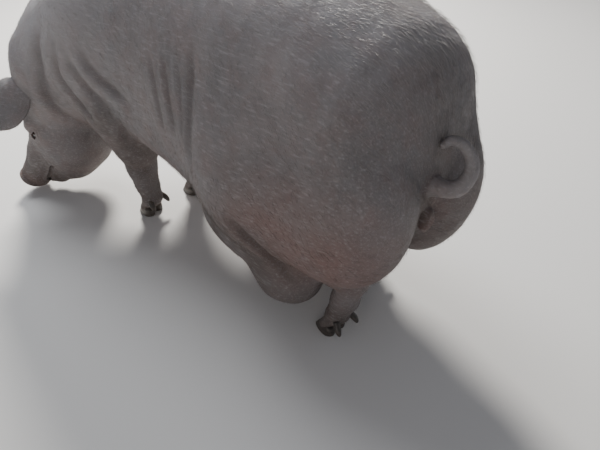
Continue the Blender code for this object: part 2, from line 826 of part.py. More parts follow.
def claw(name, foot, step):
    """One claw: a flat sole, walls that lean back and a rounded top edge."""
    x, y = FOOT[foot]
    points = []
    sides = 18
    levels = ((0.0, 0.94), (0.004, 1.0), (0.45, 0.93), (0.85, 0.82), (1.0, 0.66))
    for level, scale in levels:
        for k in range(sides):
            forward, side = claw_outline(k / sides)
            toe_share = 0.5 + forward / CLAW_LENGTH
            height = (CLAW_HEEL + (CLAW_HEIGHT - CLAW_HEEL) * toe_share) * level
            back = CLAW_LEAN * level * (0.5 + 0.5 * toe_share)
            points.append((x - 0.010 - forward * scale + back, y + step + side * scale, height))
    top = (len(levels) - 1) * sides
    faces = [tuple(range(sides)), tuple(reversed(range(top, top + sides)))]
    for ring in range(len(levels) - 1):
        for k in range(sides):
            a, b = ring * sides + k, ring * sides + (k + 1) % sides
            faces.append((a, b, b + sides, a + sides))
    obj = new_object(name, bend(points), faces)
    face_out(obj)
    return obj


def dewclaw(name, foot, side):
    x, y = FOOT[foot]
    back, out, height = DEWCLAW_AT
    start = (x + back - 0.022, y + side * (out - 0.008), height + 0.012, DEWCLAW_RADIUS)
    middle = (x + back - 0.006, y + side * out, height - 0.004, DEWCLAW_RADIUS)
    low = height - DEWCLAW_LENGTH * 0.7
    end = (x + back + 0.006, y + side * (out + 0.003), low, DEWCLAW_RADIUS * 0.5)
    return tube(name, (start, middle, end), 8)


def ball(name, centre, radius):
    work = bmesh.new()
    bmesh.ops.create_uvsphere(work, u_segments=EYE_SIDES, v_segments=EYE_RINGS, radius=radius)
    for vert in work.verts:
        vert.co += Vector(centre)
    mesh = bpy.data.meshes.new(name)
    work.to_mesh(mesh)
    work.free()
    obj = bpy.data.objects.new(name, mesh)
    bpy.context.scene.collection.objects.link(obj)
    return obj


def grown(obj, name, step):
    """A copy with its surface moved out."""
    twin = copied(obj, name)
    mesh = twin.data
    normals = np.array([vert.normal[:] for vert in mesh.vertices])
    places = np.array([vert.co[:] for vert in mesh.vertices]) + normals * step
    mesh.vertices.foreach_set("co", places.ravel())
    mesh.update()
    return twin


def clear_of(obj, neighbour):
    """Cuts the object back to a thin gap from its neighbour."""
    cutter = grown(neighbour, "cutter", CUT_GAP)
    boolean(obj, cutter, "DIFFERENCE")
    discard(cutter)


def material(name, colour, roughness):
    made = bpy.data.materials.new(name)
    made.use_nodes = True
    shader = made.node_tree.nodes["Principled BSDF"]
    shader.inputs["Base Color"].default_value = (*colour, 1.0)
    shader.inputs["Roughness"].default_value = roughness
    shader.inputs["Metallic"].default_value = 0.0
    return made


def paint(obj, colour, roughness):
    obj.data.materials.clear()
    obj.data.materials.append(material(obj.name, colour, roughness))
    for polygon in obj.data.polygons:
        polygon.use_smooth = False


def clear_scene():
    for obj in list(bpy.data.objects):
        bpy.data.objects.remove(obj)


def bounds_of(corners):
    """The world box round a box of the straight sow."""
    low, high = corners
    sides = (low, high)
    world = bend([(a[0], b[1], c[2]) for a in sides for b in sides for c in sides])
    return world.min(0), world.max(0)


def build_body():
    """Torso and legs, parted by thin cuts."""
    body = field_object("torso", *bounds_of(BODY_BOUNDS), BODY_CELL, BODY_TRIANGLES)
    front = plane_box("cutter", bent_plane(NECK_CUT), 2.0)
    boolean(body, front, "DIFFERENCE")
    discard(front)
    found = []
    for foot in FOOT:
        leg = copied(body, "leg_" + foot)
        block = leg_box("block", foot, 0.0)
        boolean(leg, block, "INTERSECT")
        discard(block)
        found.append(leg)
    for foot in FOOT:
        block = leg_box("block", foot, CUT_GAP)
        boolean(body, block, "DIFFERENCE")
        discard(block)
    return [body] + found


def build_front():
    """Neck and head from one finer mesh, parted by a thin cut."""
    neck_part = field_object("neck", *bounds_of(FRONT_BOUNDS), HEAD_CELL, FRONT_TRIANGLES)
    behind = plane_box("cutter", turned(moved(bent_plane(NECK_CUT), CUT_GAP)), 2.0)
    boolean(neck_part, behind, "DIFFERENCE")
    discard(behind)
    head_part = copied(neck_part, "head")
    beyond = plane_box("cutter", bent_plane(HEAD_CUT), 2.0)
    boolean(head_part, beyond, "INTERSECT")
    discard(beyond)
    beyond = plane_box("cutter", moved(bent_plane(HEAD_CUT), -CUT_GAP), 2.0)
    boolean(neck_part, beyond, "DIFFERENCE")
    discard(beyond)
    return neck_part, head_part


def build_feet(legs_by_foot):
    """Claws and dewclaws, each clear of its leg."""
    for foot, leg in legs_by_foot.items():
        side = 1 if foot.endswith("left") else -1
        for place, step in (("outer", -TOE_STEP), ("inner", TOE_STEP)):
            horn = claw(f"claw_{foot}_{place}", foot, step * side)
            clear_of(leg, horn)
            paint(horn, HOOF_COLOUR, 0.5)
        for place, way in (("outer", -1), ("inner", 1)):
            horn = dewclaw(f"dewclaw_{foot}_{place}", foot, way * side)
            clear_of(leg, horn)
            paint(horn, HOOF_COLOUR, 0.5)


def build_eyes(head_part):
    for name, side in (("eye_left", 1), ("eye_right", -1)):
        forward, up, left = EYE_AT
        centre = bend(from_head([(forward, up, left * side)]))[0]
        socket = ball("socket", centre, EYE_RADIUS + EYE_GAP)
        boolean(head_part, socket, "DIFFERENCE")
        discard(socket)
        eye = ball(name, centre, EYE_RADIUS)
        paint(eye, EYE_COLOUR, 0.15)


def main():
    clear_scene()
    body, *leg_parts = build_body()
    neck_part, head_part = build_front()
    build_feet(dict(zip(FOOT, leg_parts)))
    build_eyes(head_part)
    tail = tube("tail", TAIL, 12)
    clear_of(tail, body)
    ears = []
    for name, side in (("ear_left", 1), ("ear_right", -1)):
        part = ear(name, side)
        clear_of(part, head_part)
        ears.append(part)
    for obj in [body, neck_part, head_part, tail] + leg_parts + ears:
        paint(obj, SKIN_COLOUR, 0.7)


main()
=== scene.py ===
import functools
import math

import bmesh
import bpy
import numpy as np
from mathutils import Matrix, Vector
from mathutils.bvhtree import BVHTree


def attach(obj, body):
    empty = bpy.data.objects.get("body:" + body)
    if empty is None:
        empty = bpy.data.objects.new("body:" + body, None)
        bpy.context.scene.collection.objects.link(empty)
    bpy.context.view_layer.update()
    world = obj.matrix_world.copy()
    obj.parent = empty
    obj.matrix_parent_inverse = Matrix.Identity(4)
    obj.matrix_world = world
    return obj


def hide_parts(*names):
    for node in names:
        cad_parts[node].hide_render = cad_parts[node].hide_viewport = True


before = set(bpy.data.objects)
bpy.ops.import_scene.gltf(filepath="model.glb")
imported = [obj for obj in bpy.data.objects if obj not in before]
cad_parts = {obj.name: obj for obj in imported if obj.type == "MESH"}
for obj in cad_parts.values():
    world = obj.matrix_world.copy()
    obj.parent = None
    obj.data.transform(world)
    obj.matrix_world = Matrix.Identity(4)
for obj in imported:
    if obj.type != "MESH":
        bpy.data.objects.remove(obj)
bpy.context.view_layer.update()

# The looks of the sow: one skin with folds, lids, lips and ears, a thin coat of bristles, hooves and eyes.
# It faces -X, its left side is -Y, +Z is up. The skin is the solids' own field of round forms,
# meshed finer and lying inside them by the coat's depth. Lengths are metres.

# Spine: a level arc, hollow on the left side
BEND_RADIUS = 3.4
BEND_X = 0.0
# Moves the finished sow so that its box is centred on x = y = 0
CENTRE_SHIFT = (0.1793, 0.0646)

# Trunk stations from the rump forward: x, back height, widest height, belly height, half width
TRUNK = (
    (0.595, 0.575, 0.545, 0.500, 0.020),
    (0.580, 0.705, 0.570, 0.450, 0.112),
    (0.545, 0.815, 0.595, 0.400, 0.202),
    (0.500, 0.864, 0.600, 0.365, 0.242),
    (0.440, 0.892, 0.590, 0.330, 0.260),
    (0.320, 0.932, 0.570, 0.275, 0.275),
    (0.160, 0.958, 0.540, 0.240, 0.285),
    (0.000, 0.965, 0.540, 0.245, 0.275),
    (-0.160, 0.955, 0.550, 0.280, 0.255),
    (-0.320, 0.930, 0.560, 0.320, 0.240),
    (-0.460, 0.900, 0.580, 0.360, 0.215),
    (-0.590, 0.850, 0.600, 0.410, 0.175),
    (-0.690, 0.770, 0.610, 0.500, 0.090),
)
TRUNK_SQUARENESS = 2.25

# Round forms as centre and radii; those off the middle are the left side's and are mirrored
BELLY = ((0.220, 0.0, 0.500), (0.310, 0.335, 0.320))
HAM = ((0.422, -0.145, 0.480), (0.187, 0.135, 0.205))
BUTTOCK = ((0.488, -0.122, 0.500), (0.145, 0.122, 0.217))
# The right side's buttock hangs this much lower, over the leg that stands ahead
BUTTOCK_DROP = 0.040
SHOULDER = ((-0.450, -0.130, 0.560), (0.150, 0.110, 0.260))
BRISKET = ((-0.520, 0.0, 0.440), (0.150, 0.130, 0.110))
# Udder: two long cushions under the belly, deepest at the back
UDDER = ((0.160, -0.130, 0.260), (0.260, 0.120, 0.130))
UDDER_BACK = ((0.280, -0.150, 0.180), (0.120, 0.100, 0.112))
# The right side's udder starts this far forward of its leg
UDDER_STEP = 0.060
TEAT_X = (0.330, 0.240, 0.140, 0.040, -0.070, -0.180, -0.290)
TEAT_Y = 0.110
TEAT_RADIUS = 0.008
TEAT_LENGTH = 0.022
TEAT_SPREAD = 1.06
TEAT_TAPER = 0.75
# Heights tried for the skin above a teat: lowest, highest and their number
TEAT_SEARCH = (0.04, 0.44, 161)

SIDES = {"left": 1, "right": -1}
# Feet: where the middle of each foot stands
FOOT = {
    "hind_left": (0.436, -0.115),
    "hind_right": (0.360, 0.115),
    "fore_left": (-0.468, -0.115),
    "fore_right": (-0.415, 0.075),
}
# How far back each leg has leant at the leaning height, more and more from the foot up
LEG_LEAN = {"hind_left": 0.0, "hind_right": 0.055, "fore_left": 0.013, "fore_right": 0.0}
LEAN_HEIGHT = 0.400
# Hind leg joints above its foot: x and y (inward positive) from the foot, height, radius
HIND_JOINTS = (
    (-0.036, -0.016, 0.400, 0.098),
    (-0.004, -0.004, 0.300, 0.061),
    (0.043, 0.020, 0.225, 0.041),
    (0.032, 0.014, 0.150, 0.036),
    (0.018, 0.004, 0.085, 0.036),
)
HOCK_POINT = (0.060, 0.026, 0.250)
HOCK_RADII = (0.022, 0.020, 0.038)
# Fore leg joints, the same way
FORE_JOINTS = (
    (0.010, -0.010, 0.420, 0.110),
    (0.014, -0.004, 0.320, 0.076),
    (0.006, 0.0, 0.210, 0.050),
    (0.012, 0.0, 0.140, 0.039),
    (0.026, 0.0, 0.082, 0.039),
)
# One toe: sideways step from the foot's middle, its two ends from the foot and its radii
TOE_STEP = 0.021
TOE_TOP = (0.020, 0.078, 0.022)
TOE_END = (-0.010, 0.030, 0.018)
# Share of the sideways step at the toe's top
TOE_TOP_STEP = 0.7

# Claw: length, width, height of the wall at the toe, and how far it leans back
CLAW_LENGTH = 0.076
CLAW_WIDTH = 0.038
CLAW_HEIGHT = 0.046
CLAW_LEAN = 0.020
CLAW_HEEL = 0.030
# How much the sole narrows towards the toe, from how far behind its middle, and its widest share
CLAW_NARROWS = 0.28
CLAW_NARROWS_BEHIND = 0.1
CLAW_WIDEST = 1.15
# The claw stands this far ahead of its toe's middle
CLAW_AHEAD = 0.010
# Size of the wall at shares of its height
CLAW_LEVELS = (0.0, 0.03, 0.45, 0.85, 1.0)
CLAW_SIZES = (0.955, 0.995, 0.925, 0.815, 0.660)
# Growth rings: depth and how many, counted in radians, and where they end
CLAW_RINGS = (0.006, 38.0, 0.9)
CLAW_SIDES = 48
CLAW_ROWS = 22
DEWCLAW_AT = (0.062, 0.034, 0.072)
DEWCLAW_RADIUS = 0.010
# Dewclaw joints from its place: back, out and up, and the share of its radius there
DEWCLAW_JOINTS = ((-0.022, -0.008, 0.012, 1.0), (-0.006, 0.0, -0.004, 1.0), (0.006, 0.003, -0.021, 0.5))
DEWCLAW_STEPS = 12
DEWCLAW_SIDES = 24
# Dewclaw size against the solids' one, and its growth rings: depth, and the turn from one ring to the next
DEWCLAW_INSET = 0.98
DEWCLAW_RINGS = (0.03, 2.1)
# Steps of the rounded tip, how much longer its curve is, and the least square of its share
DEWCLAW_TIP = 4
DEWCLAW_TIP_CURVE = 1.1
DEWCLAW_TIP_LEAST = 0.02

# Neck joints: x, y, z, radius
NECK = (
    (-0.560, -0.015, 0.640, 0.215),
    (-0.655, -0.047, 0.582, 0.186),
    (-0.762, -0.090, 0.508, 0.157),
    (-0.806, -0.104, 0.452, 0.130),
)
NAPE = ((-0.662, -0.040, 0.628), (0.160, 0.116, 0.088))
THROAT = ((-0.700, -0.080, 0.450), (0.160, 0.122, 0.112))

# Head: middle of the skull, the way the snout points and the way the forehead faces
SKULL = (-0.806, -0.100, 0.380)
HEAD_FORWARD = (-0.535, -0.265, -0.800)
HEAD_UP = (-0.93, -0.36, 0.0)
HEAD_SCALE = 1.14
# Sizes in the head's own directions: forward, up, left
CRANIUM = ((-0.008, -0.004, 0.0), (0.130, 0.094, 0.098))
FOREHEAD = ((0.060, 0.028, 0.0), (0.100, 0.055, 0.083))
CHEEK = ((0.075, -0.060, 0.068), (0.095, 0.080, 0.045))
JOWL = ((0.108, -0.098, 0.0), (0.122, 0.084, 0.102))
BROW = ((0.078, 0.052, 0.066), (0.045, 0.018, 0.026))
EAR_BASE = ((-0.052, 0.070, 0.066), (0.042, 0.036, 0.034))
MUZZLE = ((0.100, -0.005, 0.078), (0.210, -0.014, 0.061), (0.322, -0.008, 0.053))
CHIN = ((0.100, -0.110, 0.080), (0.190, -0.100, 0.062), (0.275, -0.078, 0.038))
DISC = ((0.348, -0.004, 0.0), (0.014, 0.051, 0.061))
NOSTRIL = ((0.358, 0.000, 0.021), (0.018, 0.0115, 0.0085))
# Line of the mouth from the front back to its corner, and the lips just inside it
MOUTH = (
    (0.319, -0.058, 0.0, 0.0058),
    (0.306, -0.058, 0.034, 0.0058),
    (0.274, -0.060, 0.051, 0.0058),
    (0.220, -0.060, 0.064, 0.0052),
    (0.164, -0.072, 0.078, 0.0034),
)
LIPS = (
    (0.306, -0.058, 0.0),
    (0.296, -0.058, 0.026),
    (0.270, -0.060, 0.039),
    (0.220, -0.060, 0.052),
    (0.160, -0.074, 0.066),
)
LIP_RADIUS = 0.0125
EYE_AT = (0.112, 0.020, 0.078)
EYE_RADIUS = 0.0150
LID_RADIUS = 0.0185
# Opening between the lids: half length, half height, depth and how far out it lies
LID_SLIT = (0.0165, 0.0062, 0.0180)
LID_SLIT_OUT = 0.012

# Ear: root in the head's directions, length, widest half width, half angle of its curl and thickness
EAR_ROOT = (-0.066, 0.068, 0.062)
EAR_LENGTH = 0.235
EAR_HALF_WIDTH = 0.084
EAR_CURL = (0.45, 1.90)
EAR_THICKNESS = (0.013, 0.006)
# The ways it runs and its open side faces, at its root and past its flop
EAR_START = (0.10, 0.66, 0.74)
EAR_END = (0.95, -0.05, 0.32)
EAR_OPEN_START = (0.86, -0.30, 0.40)
EAR_OPEN_END = (0.15, -0.45, -0.85)
EAR_FLOP = 1.7
EAR_STEPS = 24

# Tail joints: x, y, z, radius; it curls up and over to the right
TAIL = (
    (0.560, 0.000, 0.566, 0.026),
    (0.605, 0.002, 0.562, 0.022),
    (0.642, 0.018, 0.570, 0.019),
    (0.654, 0.036, 0.600, 0.0165),
    (0.644, 0.044, 0.636, 0.0145),
    (0.622, 0.036, 0.662, 0.0125),
    (0.604, 0.018, 0.670, 0.0100),
    (0.598, 0.002, 0.662, 0.0075),
)
VULVA = ((0.600, 0.0, 0.465), (0.022, 0.020, 0.036))
# Its slit: radius, half height, and how far back of the middle its top and its end lie
VULVA_SLIT = (0.0075, 0.024)
SLIT_BACK = (0.022, 0.016)
ANUS = ((0.614, 0.0, 0.525), (0.017, 0.014, 0.014))

# How softly each form runs into those before it
BLEND = {
    "ham": 0.07, "buttock": 0.05, "shoulder": 0.06, "udder": 0.04, "belly": 0.05, "brisket": 0.07,
    "leg_joints": 0.03, "hock": 0.03, "toes": 0.006, "foot": 0.02,
    "vulva": 0.012, "slit": 0.004, "anus": 0.008,
    "neck_joints": 0.06, "nape": 0.09, "throat": 0.07,
    "forehead": 0.05, "cheek": 0.05, "jowl": 0.06, "muzzle_joints": 0.04, "muzzle": 0.05,
    "chin_joints": 0.03, "chin": 0.035, "brow": 0.022, "ear_base": 0.030, "disc": 0.010, "lid": 0.010,
    "lip_joints": 0.01, "lips": 0.014, "mouth_joints": 0.004, "mouth": 0.004, "nostril": 0.004,
    "lid_slit": 0.002,
    "teats": 0.012, "limbs": 0.045, "tail_joints": 0.004, "tail": 0.016, "neck": 0.10, "head": 0.045,
}
# Each part is worked out only near itself: how far past its end, or the height or place where it stops
TORSO_REACH = 0.30
LEG_TOP = 0.75
TEAT_TOP = 0.40
TAIL_REACH = 0.10
TAIL_LOWEST = 0.45
NECK_BACK = -0.20
HEAD_REACH = 0.35

# Skin mesh: how far it lies inside the solids, and its cell
SKIN_DEPTH = 0.0015
SKIN_CELL = 0.0050
SKIN_BOUNDS = ((-1.16, -0.44, 0.0), (0.72, 0.40, 1.01))
SMALLEST_BLOCK = 8
# A block is left out where the field at its middle is this many times its half diagonal
BLOCK_MARGIN = 1.7
# Where the trunk ends its field grows too fast, so the grid is filled there in any case: centre, radii
TRUNK_END = ((0.580, 0.0, 0.690), (0.100, 0.160, 0.160))
# The field's value where a form isn't worked out, and two least values that keep divisions whole
FAR = 1.0
SMALL = 1e-6
TINY = 1e-9
# How deep a pinch is filled, in cells, and the most rounds of filling and of linking points
PINCH_DEPTH = 0.1
PINCH_ROUNDS = 6
LINK_ROUNDS = 60
# Step over which the field's slope is taken
SLOPE_STEP = 0.0008
# Settling onto the field: rounds, the longest step, and the least steepness squared that is trusted
SETTLE_ROUNDS = 3
SETTLE_STEP = 0.003
LEAST_STEEPNESS = 0.16

# Places where the skin's squares are split in four: centre in the head's directions, radii
FINE_HEAD = ((0.150, -0.030, 0.0), (0.330, 0.230, 0.190))
FINEST_EYE = ((0.112, 0.020, 0.086), (0.034, 0.028, 0.030))
FINEST_SNOUT = ((0.345, -0.004, 0.0), (0.045, 0.062, 0.068))

# Creases as the side view shows them, on both sides: x and z along the line, half width, depth, roll
CREASES = {
    "jowl": (
        (
            (-0.600, 0.735), (-0.634, 0.656), (-0.652, 0.577),
            (-0.672, 0.493), (-0.670, 0.410), (-0.640, 0.330),
        ),
        0.018, 0.0085, 0.005,
    ),
    "neck": (
        (
            (-0.520, 0.740), (-0.545, 0.655), (-0.556, 0.590),
            (-0.537, 0.531), (-0.495, 0.474), (-0.430, 0.425),
        ),
        0.016, 0.0095, 0.006,
    ),
    "shoulder_front": (
        (
            (-0.475, 0.740), (-0.484, 0.647), (-0.453, 0.595),
            (-0.403, 0.548), (-0.367, 0.490), (-0.350, 0.424),
        ),
        0.026, 0.0085, 0.003,
    ),
    "shoulder_back": (
        ((-0.425, 0.720), (-0.402, 0.654), (-0.357, 0.611), (-0.286, 0.588), (-0.205, 0.565)),
        0.015, 0.0055, 0.006,
    ),
    "elbow": (((-0.330, 0.520), (-0.345, 0.440), (-0.370, 0.370), (-0.400, 0.330)), 0.014, 0.0060, 0.003),
    "rib_front": (((-0.095, 0.745), (-0.078, 0.680), (-0.070, 0.600), (-0.060, 0.540)), 0.012, 0.0028, 0.002),
    "rib_middle": (((-0.030, 0.770), (-0.014, 0.700), (-0.004, 0.610), (0.006, 0.540)), 0.012, 0.0034, 0.002),
    "rib_back": (((0.022, 0.780), (0.044, 0.700), (0.058, 0.620), (0.064, 0.560)), 0.010, 0.0030, 0.002),
    "belly": (
        ((0.072, 0.830), (0.090, 0.762), (0.089, 0.700), (0.092, 0.640), (0.104, 0.560), (0.106, 0.470)),
        0.016, 0.0065, 0.003,
    ),
    "flank": (
        ((0.245, 0.500), (0.300, 0.430), (0.325, 0.367), (0.340, 0.280), (0.380, 0.215)),
        0.015, 0.014, 0.007,
    ),
    "ham": (((0.385, 0.225), (0.440, 0.255), (0.490, 0.268), (0.530, 0.262)), 0.012, 0.009, 0.006),
}
# Least sideways turn of the skin where a crease starts to show, and where it shows in full
CREASE_FACING = (0.15, 0.50)
# How fast a crease grows from its ends, and the roll beside it: its place and width in the crease's widths
CREASE_FADE = 3.2
CREASE_ROLL = (2.2, 1.4)
CREASE_STEPS = 6
# How far the creases wander from their lines, over what length, and the seeds of the two ways
CREASE_WANDER = 0.007
WANDER_LENGTH = 0.11
WANDER_SEEDS = (5, 6)

# Swellings of the whole skin: depth, length and seed; then their waves, whose lengths vary, and a whole turn
LUMPS = ((0.0022, 0.16, 3), (0.0010, 0.055, 4))
LUMP_WAVES = 6
LUMP_LENGTHS = (0.7, 1.4)
WHOLE_TURN = 6.3
# Ribs: zone, depth of the folds, their spacing and how they slant
RIBS = ((-0.02, 0.0, 0.660), (0.16, 0.60, 0.17))
RIB_FOLD = 0.0022
RIB_SPACING = 0.030
RIB_SLANT = 0.16
# Glands above the teats: swelling, length and width, how far out, and up to what height
GLAND_SWELL = 0.0080
GLAND_SIZE = (0.038, 0.055)
GLAND_Y = 0.13
GLAND_TOP = 0.33
# Wrinkles of the legs: depth, spacing, slant, reach from the foot, and the heights where they begin and end
LEG_WRINKLE = 0.0010
LEG_SPACING = 0.017
LEG_SLANT = 0.25
LEG_REACH = 0.09
LEG_WRINKLE_LOW = (0.055, 0.075)
LEG_WRINKLE_HIGH = (0.30, 0.24)
# Wrinkles of the face: zones in the head's directions, depth and spacing
MUZZLE_ZONE = ((0.262, 0.035, 0.0), (0.080, 0.060, 0.075))
MUZZLE_WRINKLE = 0.0009
MUZZLE_SPACING = 0.0155
CHEEK_ZONE = ((0.170, -0.055, 0.075), (0.090, 0.060, 0.050))
CHEEK_WRINKLE = 0.0009
CHEEK_SPACING = 0.026
# How the two slant, and how far their unevenness shifts them
MUZZLE_SLANT = 0.35
CHEEK_SLANT = 0.9
MUZZLE_SHIFT = 0.003
CHEEK_SHIFT = 0.006
# Length and seed of that unevenness, and its middle, which is also its spread
FACE_UNEVEN = (0.035, 8)
UNEVEN_SHARE = 0.6
# Rings round the eye: depth, then share, radius and width of each; they are longer than high
EYE_RING = 0.0010
EYE_RINGS = ((1.0, 0.0150, 0.0030), (-0.8, 0.0205, 0.0030), (0.7, 0.0262, 0.0035))
EYE_LONG = 1.45
# The rings lie further out than the first and behind the second, in the head's directions
BESIDE_EYE = (0.045, 0.26)

# Ears, a little thinner than the solids
EAR_ROWS = 72
EAR_COLUMNS = 44
EAR_THIN = 0.80
# Outline of the leaf: share of the full width at the root, how it swells and narrows, its tip, least width
EAR_LEAF = (0.50, 1.25, 0.55)
EAR_LEAF_TIP = 0.8
EAR_LEAF_LEAST = 0.03
# Where the edge thins: the power that keeps it back, and the least square of its share
EAR_EDGE = (8, 0.04)
# Veins on the back and the wave of the rim: height and how many
EAR_VEINS = (0.0007, 9.0)
EAR_WAVE = (0.0035, 15.0)

# Bristles
COAT_SEED = 7
COAT_SHARE = 1.0
BRISTLE_RADIUS = 0.00022
BRISTLE_SUNK = 0.0012
# Least and most lift off the skin in degrees, how much of it is left past the middle, and how far ways stray
BRISTLE_LIFT = (7.0, 24.0)
BRISTLE_DROOP = 0.25
BRISTLE_STRAY = 0.16
# Least and most of a bristle's radius and length against the usual, and the radius at its middle
BRISTLE_WIDTHS = (0.75, 1.2)
BRISTLE_LENGTHS = (0.55, 1.25)
BRISTLE_TAPER = 0.72
TUFT_PATCH = 0.003
# Unwrap: margin, half width, a leg's top and reach, widths of head and body, the head's ends, the body's axis
UV_EDGE = 0.02
UV_HALF = 0.45
UV_LEG_TOP = 0.42
UV_LEG_REACH = 0.25
UV_WIDE_HEAD = 0.94
UV_WIDE_BODY = 0.95
UV_HEAD = (-0.15, 0.40)
UV_AXIS = 0.58
# Lie of the coat: how far down it slants on the sides, its ways on the legs and the tail, and the heights
# and places over which the legs' and the head's own ways take over
FLOW_DOWN = 0.45
FLOW_LEG = (0.25, 0.0, -1.0)
FLOW_TAIL = (0.1, 0.0, 1.0)
FLOW_LEG_HEIGHTS = (0.38, 0.26)
FLOW_HEAD_PLACES = (-0.66, -0.76)
# The tail's way holds this far behind its root and above this height
FLOW_TAIL_FROM = (0.05, 0.535)
# Step along a way, by which it turns with the spine
FLOW_STEP = 0.01
# Bristles a square metre: on the sides, added on top and along the ridge, on the legs and the ears
DENSITY = {"side": 12000.0, "top": 9000.0, "ridge": 8000.0, "leg": 9000.0, "ear": 26000.0}
# Share of the bristles left on the underside, how far it faces down and the height it ends at
UNDER_SHARE = 0.35
UNDER_FACING = -0.5
UNDER_END = 0.1
# Half width of the ridge and the height it lies above, for its density and for its lengths
RIDGE_DENSE = (0.06, 0.6)
RIDGE_LONG = (0.05, 0.7)
# Lengths, in the same way, and on the face and at the tail's tip
LENGTH = {
    "side": 0.020, "top": 0.010, "ridge": 0.014, "leg": 0.013, "ear": 0.015, "face": 0.013, "tail": 0.040,
}
# Heights over which the top's bristles lengthen, and where those of the face and the legs begin
TOP_COAT_HEIGHTS = (0.6, 0.9)
FACE_COAT_AHEAD_OF = -0.72
LEG_COAT_SHORT = 0.28
# The tail's tip lies behind and above this, and its bristles grow where the flesh is this near
TAIL_TIP = (0.585, 0.655)
TAIL_COAT_NEAR = 0.003
# An ear's bristles grow ahead of this place, where the skin is this near the ear's own sheet
EARS_AHEAD_OF = -0.55
EAR_NEAR = 0.0035
# Body behind these places, from the rear forward, in pieces of coat
COAT_REGIONS = {"rump": 0.34, "loin": 0.10, "ribs": -0.16, "shoulder": -0.44, "neck": -0.70, "head": -9.0}
# Legs: their coat's top, and how far from the foot's middle it reaches
LEG_COAT_TOP = 0.30
LEG_COAT_REACH = (0.13, 0.10)
# Bare places: the eye and the nose disc in the head's directions, the parts under the tail, and the hooves
BARE_EYE = ((EYE_AT[0], EYE_AT[1], 0.090), (0.019, 0.0085, 0.020))
BARE_DISC = (0.338, 0.08)
BARE_REAR = ((0.615, 0.0, 0.485), (0.040, 0.030, 0.080))
BARE_HOOF = (0.07, 0.06, 0.045)

# Eyes: width of the pupil against its height, iris radius and size against the solids' ball
PUPIL_LONG = 1.15
IRIS_SHARE = 0.72
EYE_INSET = 0.985
# Way the eye looks in the head's directions, and how much flatter its white is than its cornea
EYE_GAZE = (0.010, 0.004, 0.030)
CORNEA_BULGE = 0.10
CORNEA_EDGE = 0.9
EYEBALL_SEGMENTS, EYEBALL_RINGS = 48, 32

FLESH_NODES = (
    "torso", "neck", "head", "tail", "ear_left", "ear_right",
    "leg_hind_left", "leg_hind_right", "leg_fore_left", "leg_fore_right",
)

# Marks on skin and coat that rise from one place to another
# The colour darkens towards the bottom, and towards the lower rear, less so on the left side
DARKER_DOWN = (0.40, 0.06)
DARKER_DOWN_POWER = 1.2
REAR_DARKER_DOWN = (0.84, 0.44)
REAR_DARKER_BACK = (-0.06, 0.29)
REAR_SIDE_LESSENING = 0.55
# The face darkens towards the snout, partly dirt and partly painted shade; the snout's end is dirtier still
FACE_RISE = (0.06, 0.26)
SNOUT_RISE = (0.285, 0.335)
# Painted light: the top of the back is paler where it faces up
BACK_LIT_UP = (0.72, 0.92)
# The upper fore part is paler, partly its own pale skin and partly painted light
FORE_PALE_AND_LIT_AHEAD = (-0.15, -0.60)
FORE_PALE_AND_LIT_UP = (0.50, 0.70)
# Painted highlight: the tail is painted paler
TAIL_LIT_REACH = 0.008
REAR_SIDE_LESSENS = (0.0, 0.15)
# Places and a height that such marks end at
TAIL_LIT_BEHIND = 0.60
FACE_AHEAD_OF = -0.55
SNOUT_AHEAD_OF = -0.75
PINK_UNDER_TOP = 0.45
# The most of each such mark
# The dark mark is dirt and painted shade: under paints shade on places that face down, face is partly painted
# shade, the snout is dirt
MOST_DIRT_AND_SHADE = {"low": 1.0, "rear": 0.72, "under": 0.35, "snout": 0.9, "face": 0.6}
MOST_PINK = {"belly": 0.55, "snout": 0.8}
# Painted light: back and tail are painted paler, fore is partly painted light
MOST_PALE_AND_LIT = {"back": 0.5, "fore": 1.0, "tail": 0.4}
# Marked zones: kind, whether on one side as placed, on both or in the head's directions, zone, gain and most
MARK_ZONES = (
    # Painted shade on the lower belly and udder sides
    ("dirt_and_shade", "both", ((0.200, 0.230, 0.300), (0.300, 0.230, 0.260)), 2.0, 0.85),
    # Painted shade between the neck and the fore leg
    ("dirt_and_shade", "both", ((-0.430, 0.160, 0.360), (0.200, 0.160, 0.240)), 2.2, 0.95),
    # Painted shade in the hollow under the tail
    ("dirt_and_shade", "one", ((0.600, -0.025, 0.500), (0.060, 0.070, 0.095)), 1.8, 1.0),
    ("pink", "both", ((0.430, 0.220, 0.400), (0.300, 0.260, 0.260)), 1.6, 1.0),
    ("pink", "one", ((0.61, 0.0, 0.48), (0.06, 0.09, 0.13)), 1.0, 1.0),
    ("pink", "head", ((EYE_AT[0], EYE_AT[1], 0.080), (0.050, 0.042, 0.050)), 2.0, 0.15),
)

# Share of light that soaks into the skin, and how far each colour of it goes
SKIN_GLOW = 0.06
SKIN_GLOW_REACH = (0.010, 0.004, 0.002)
# How much the marks show: the paleness with its painted light over the other colours, and the painted shade
# in the creases
PALE_AND_LIT_SHARE = 0.60
CREASE_SHADE_SHARE = 0.42
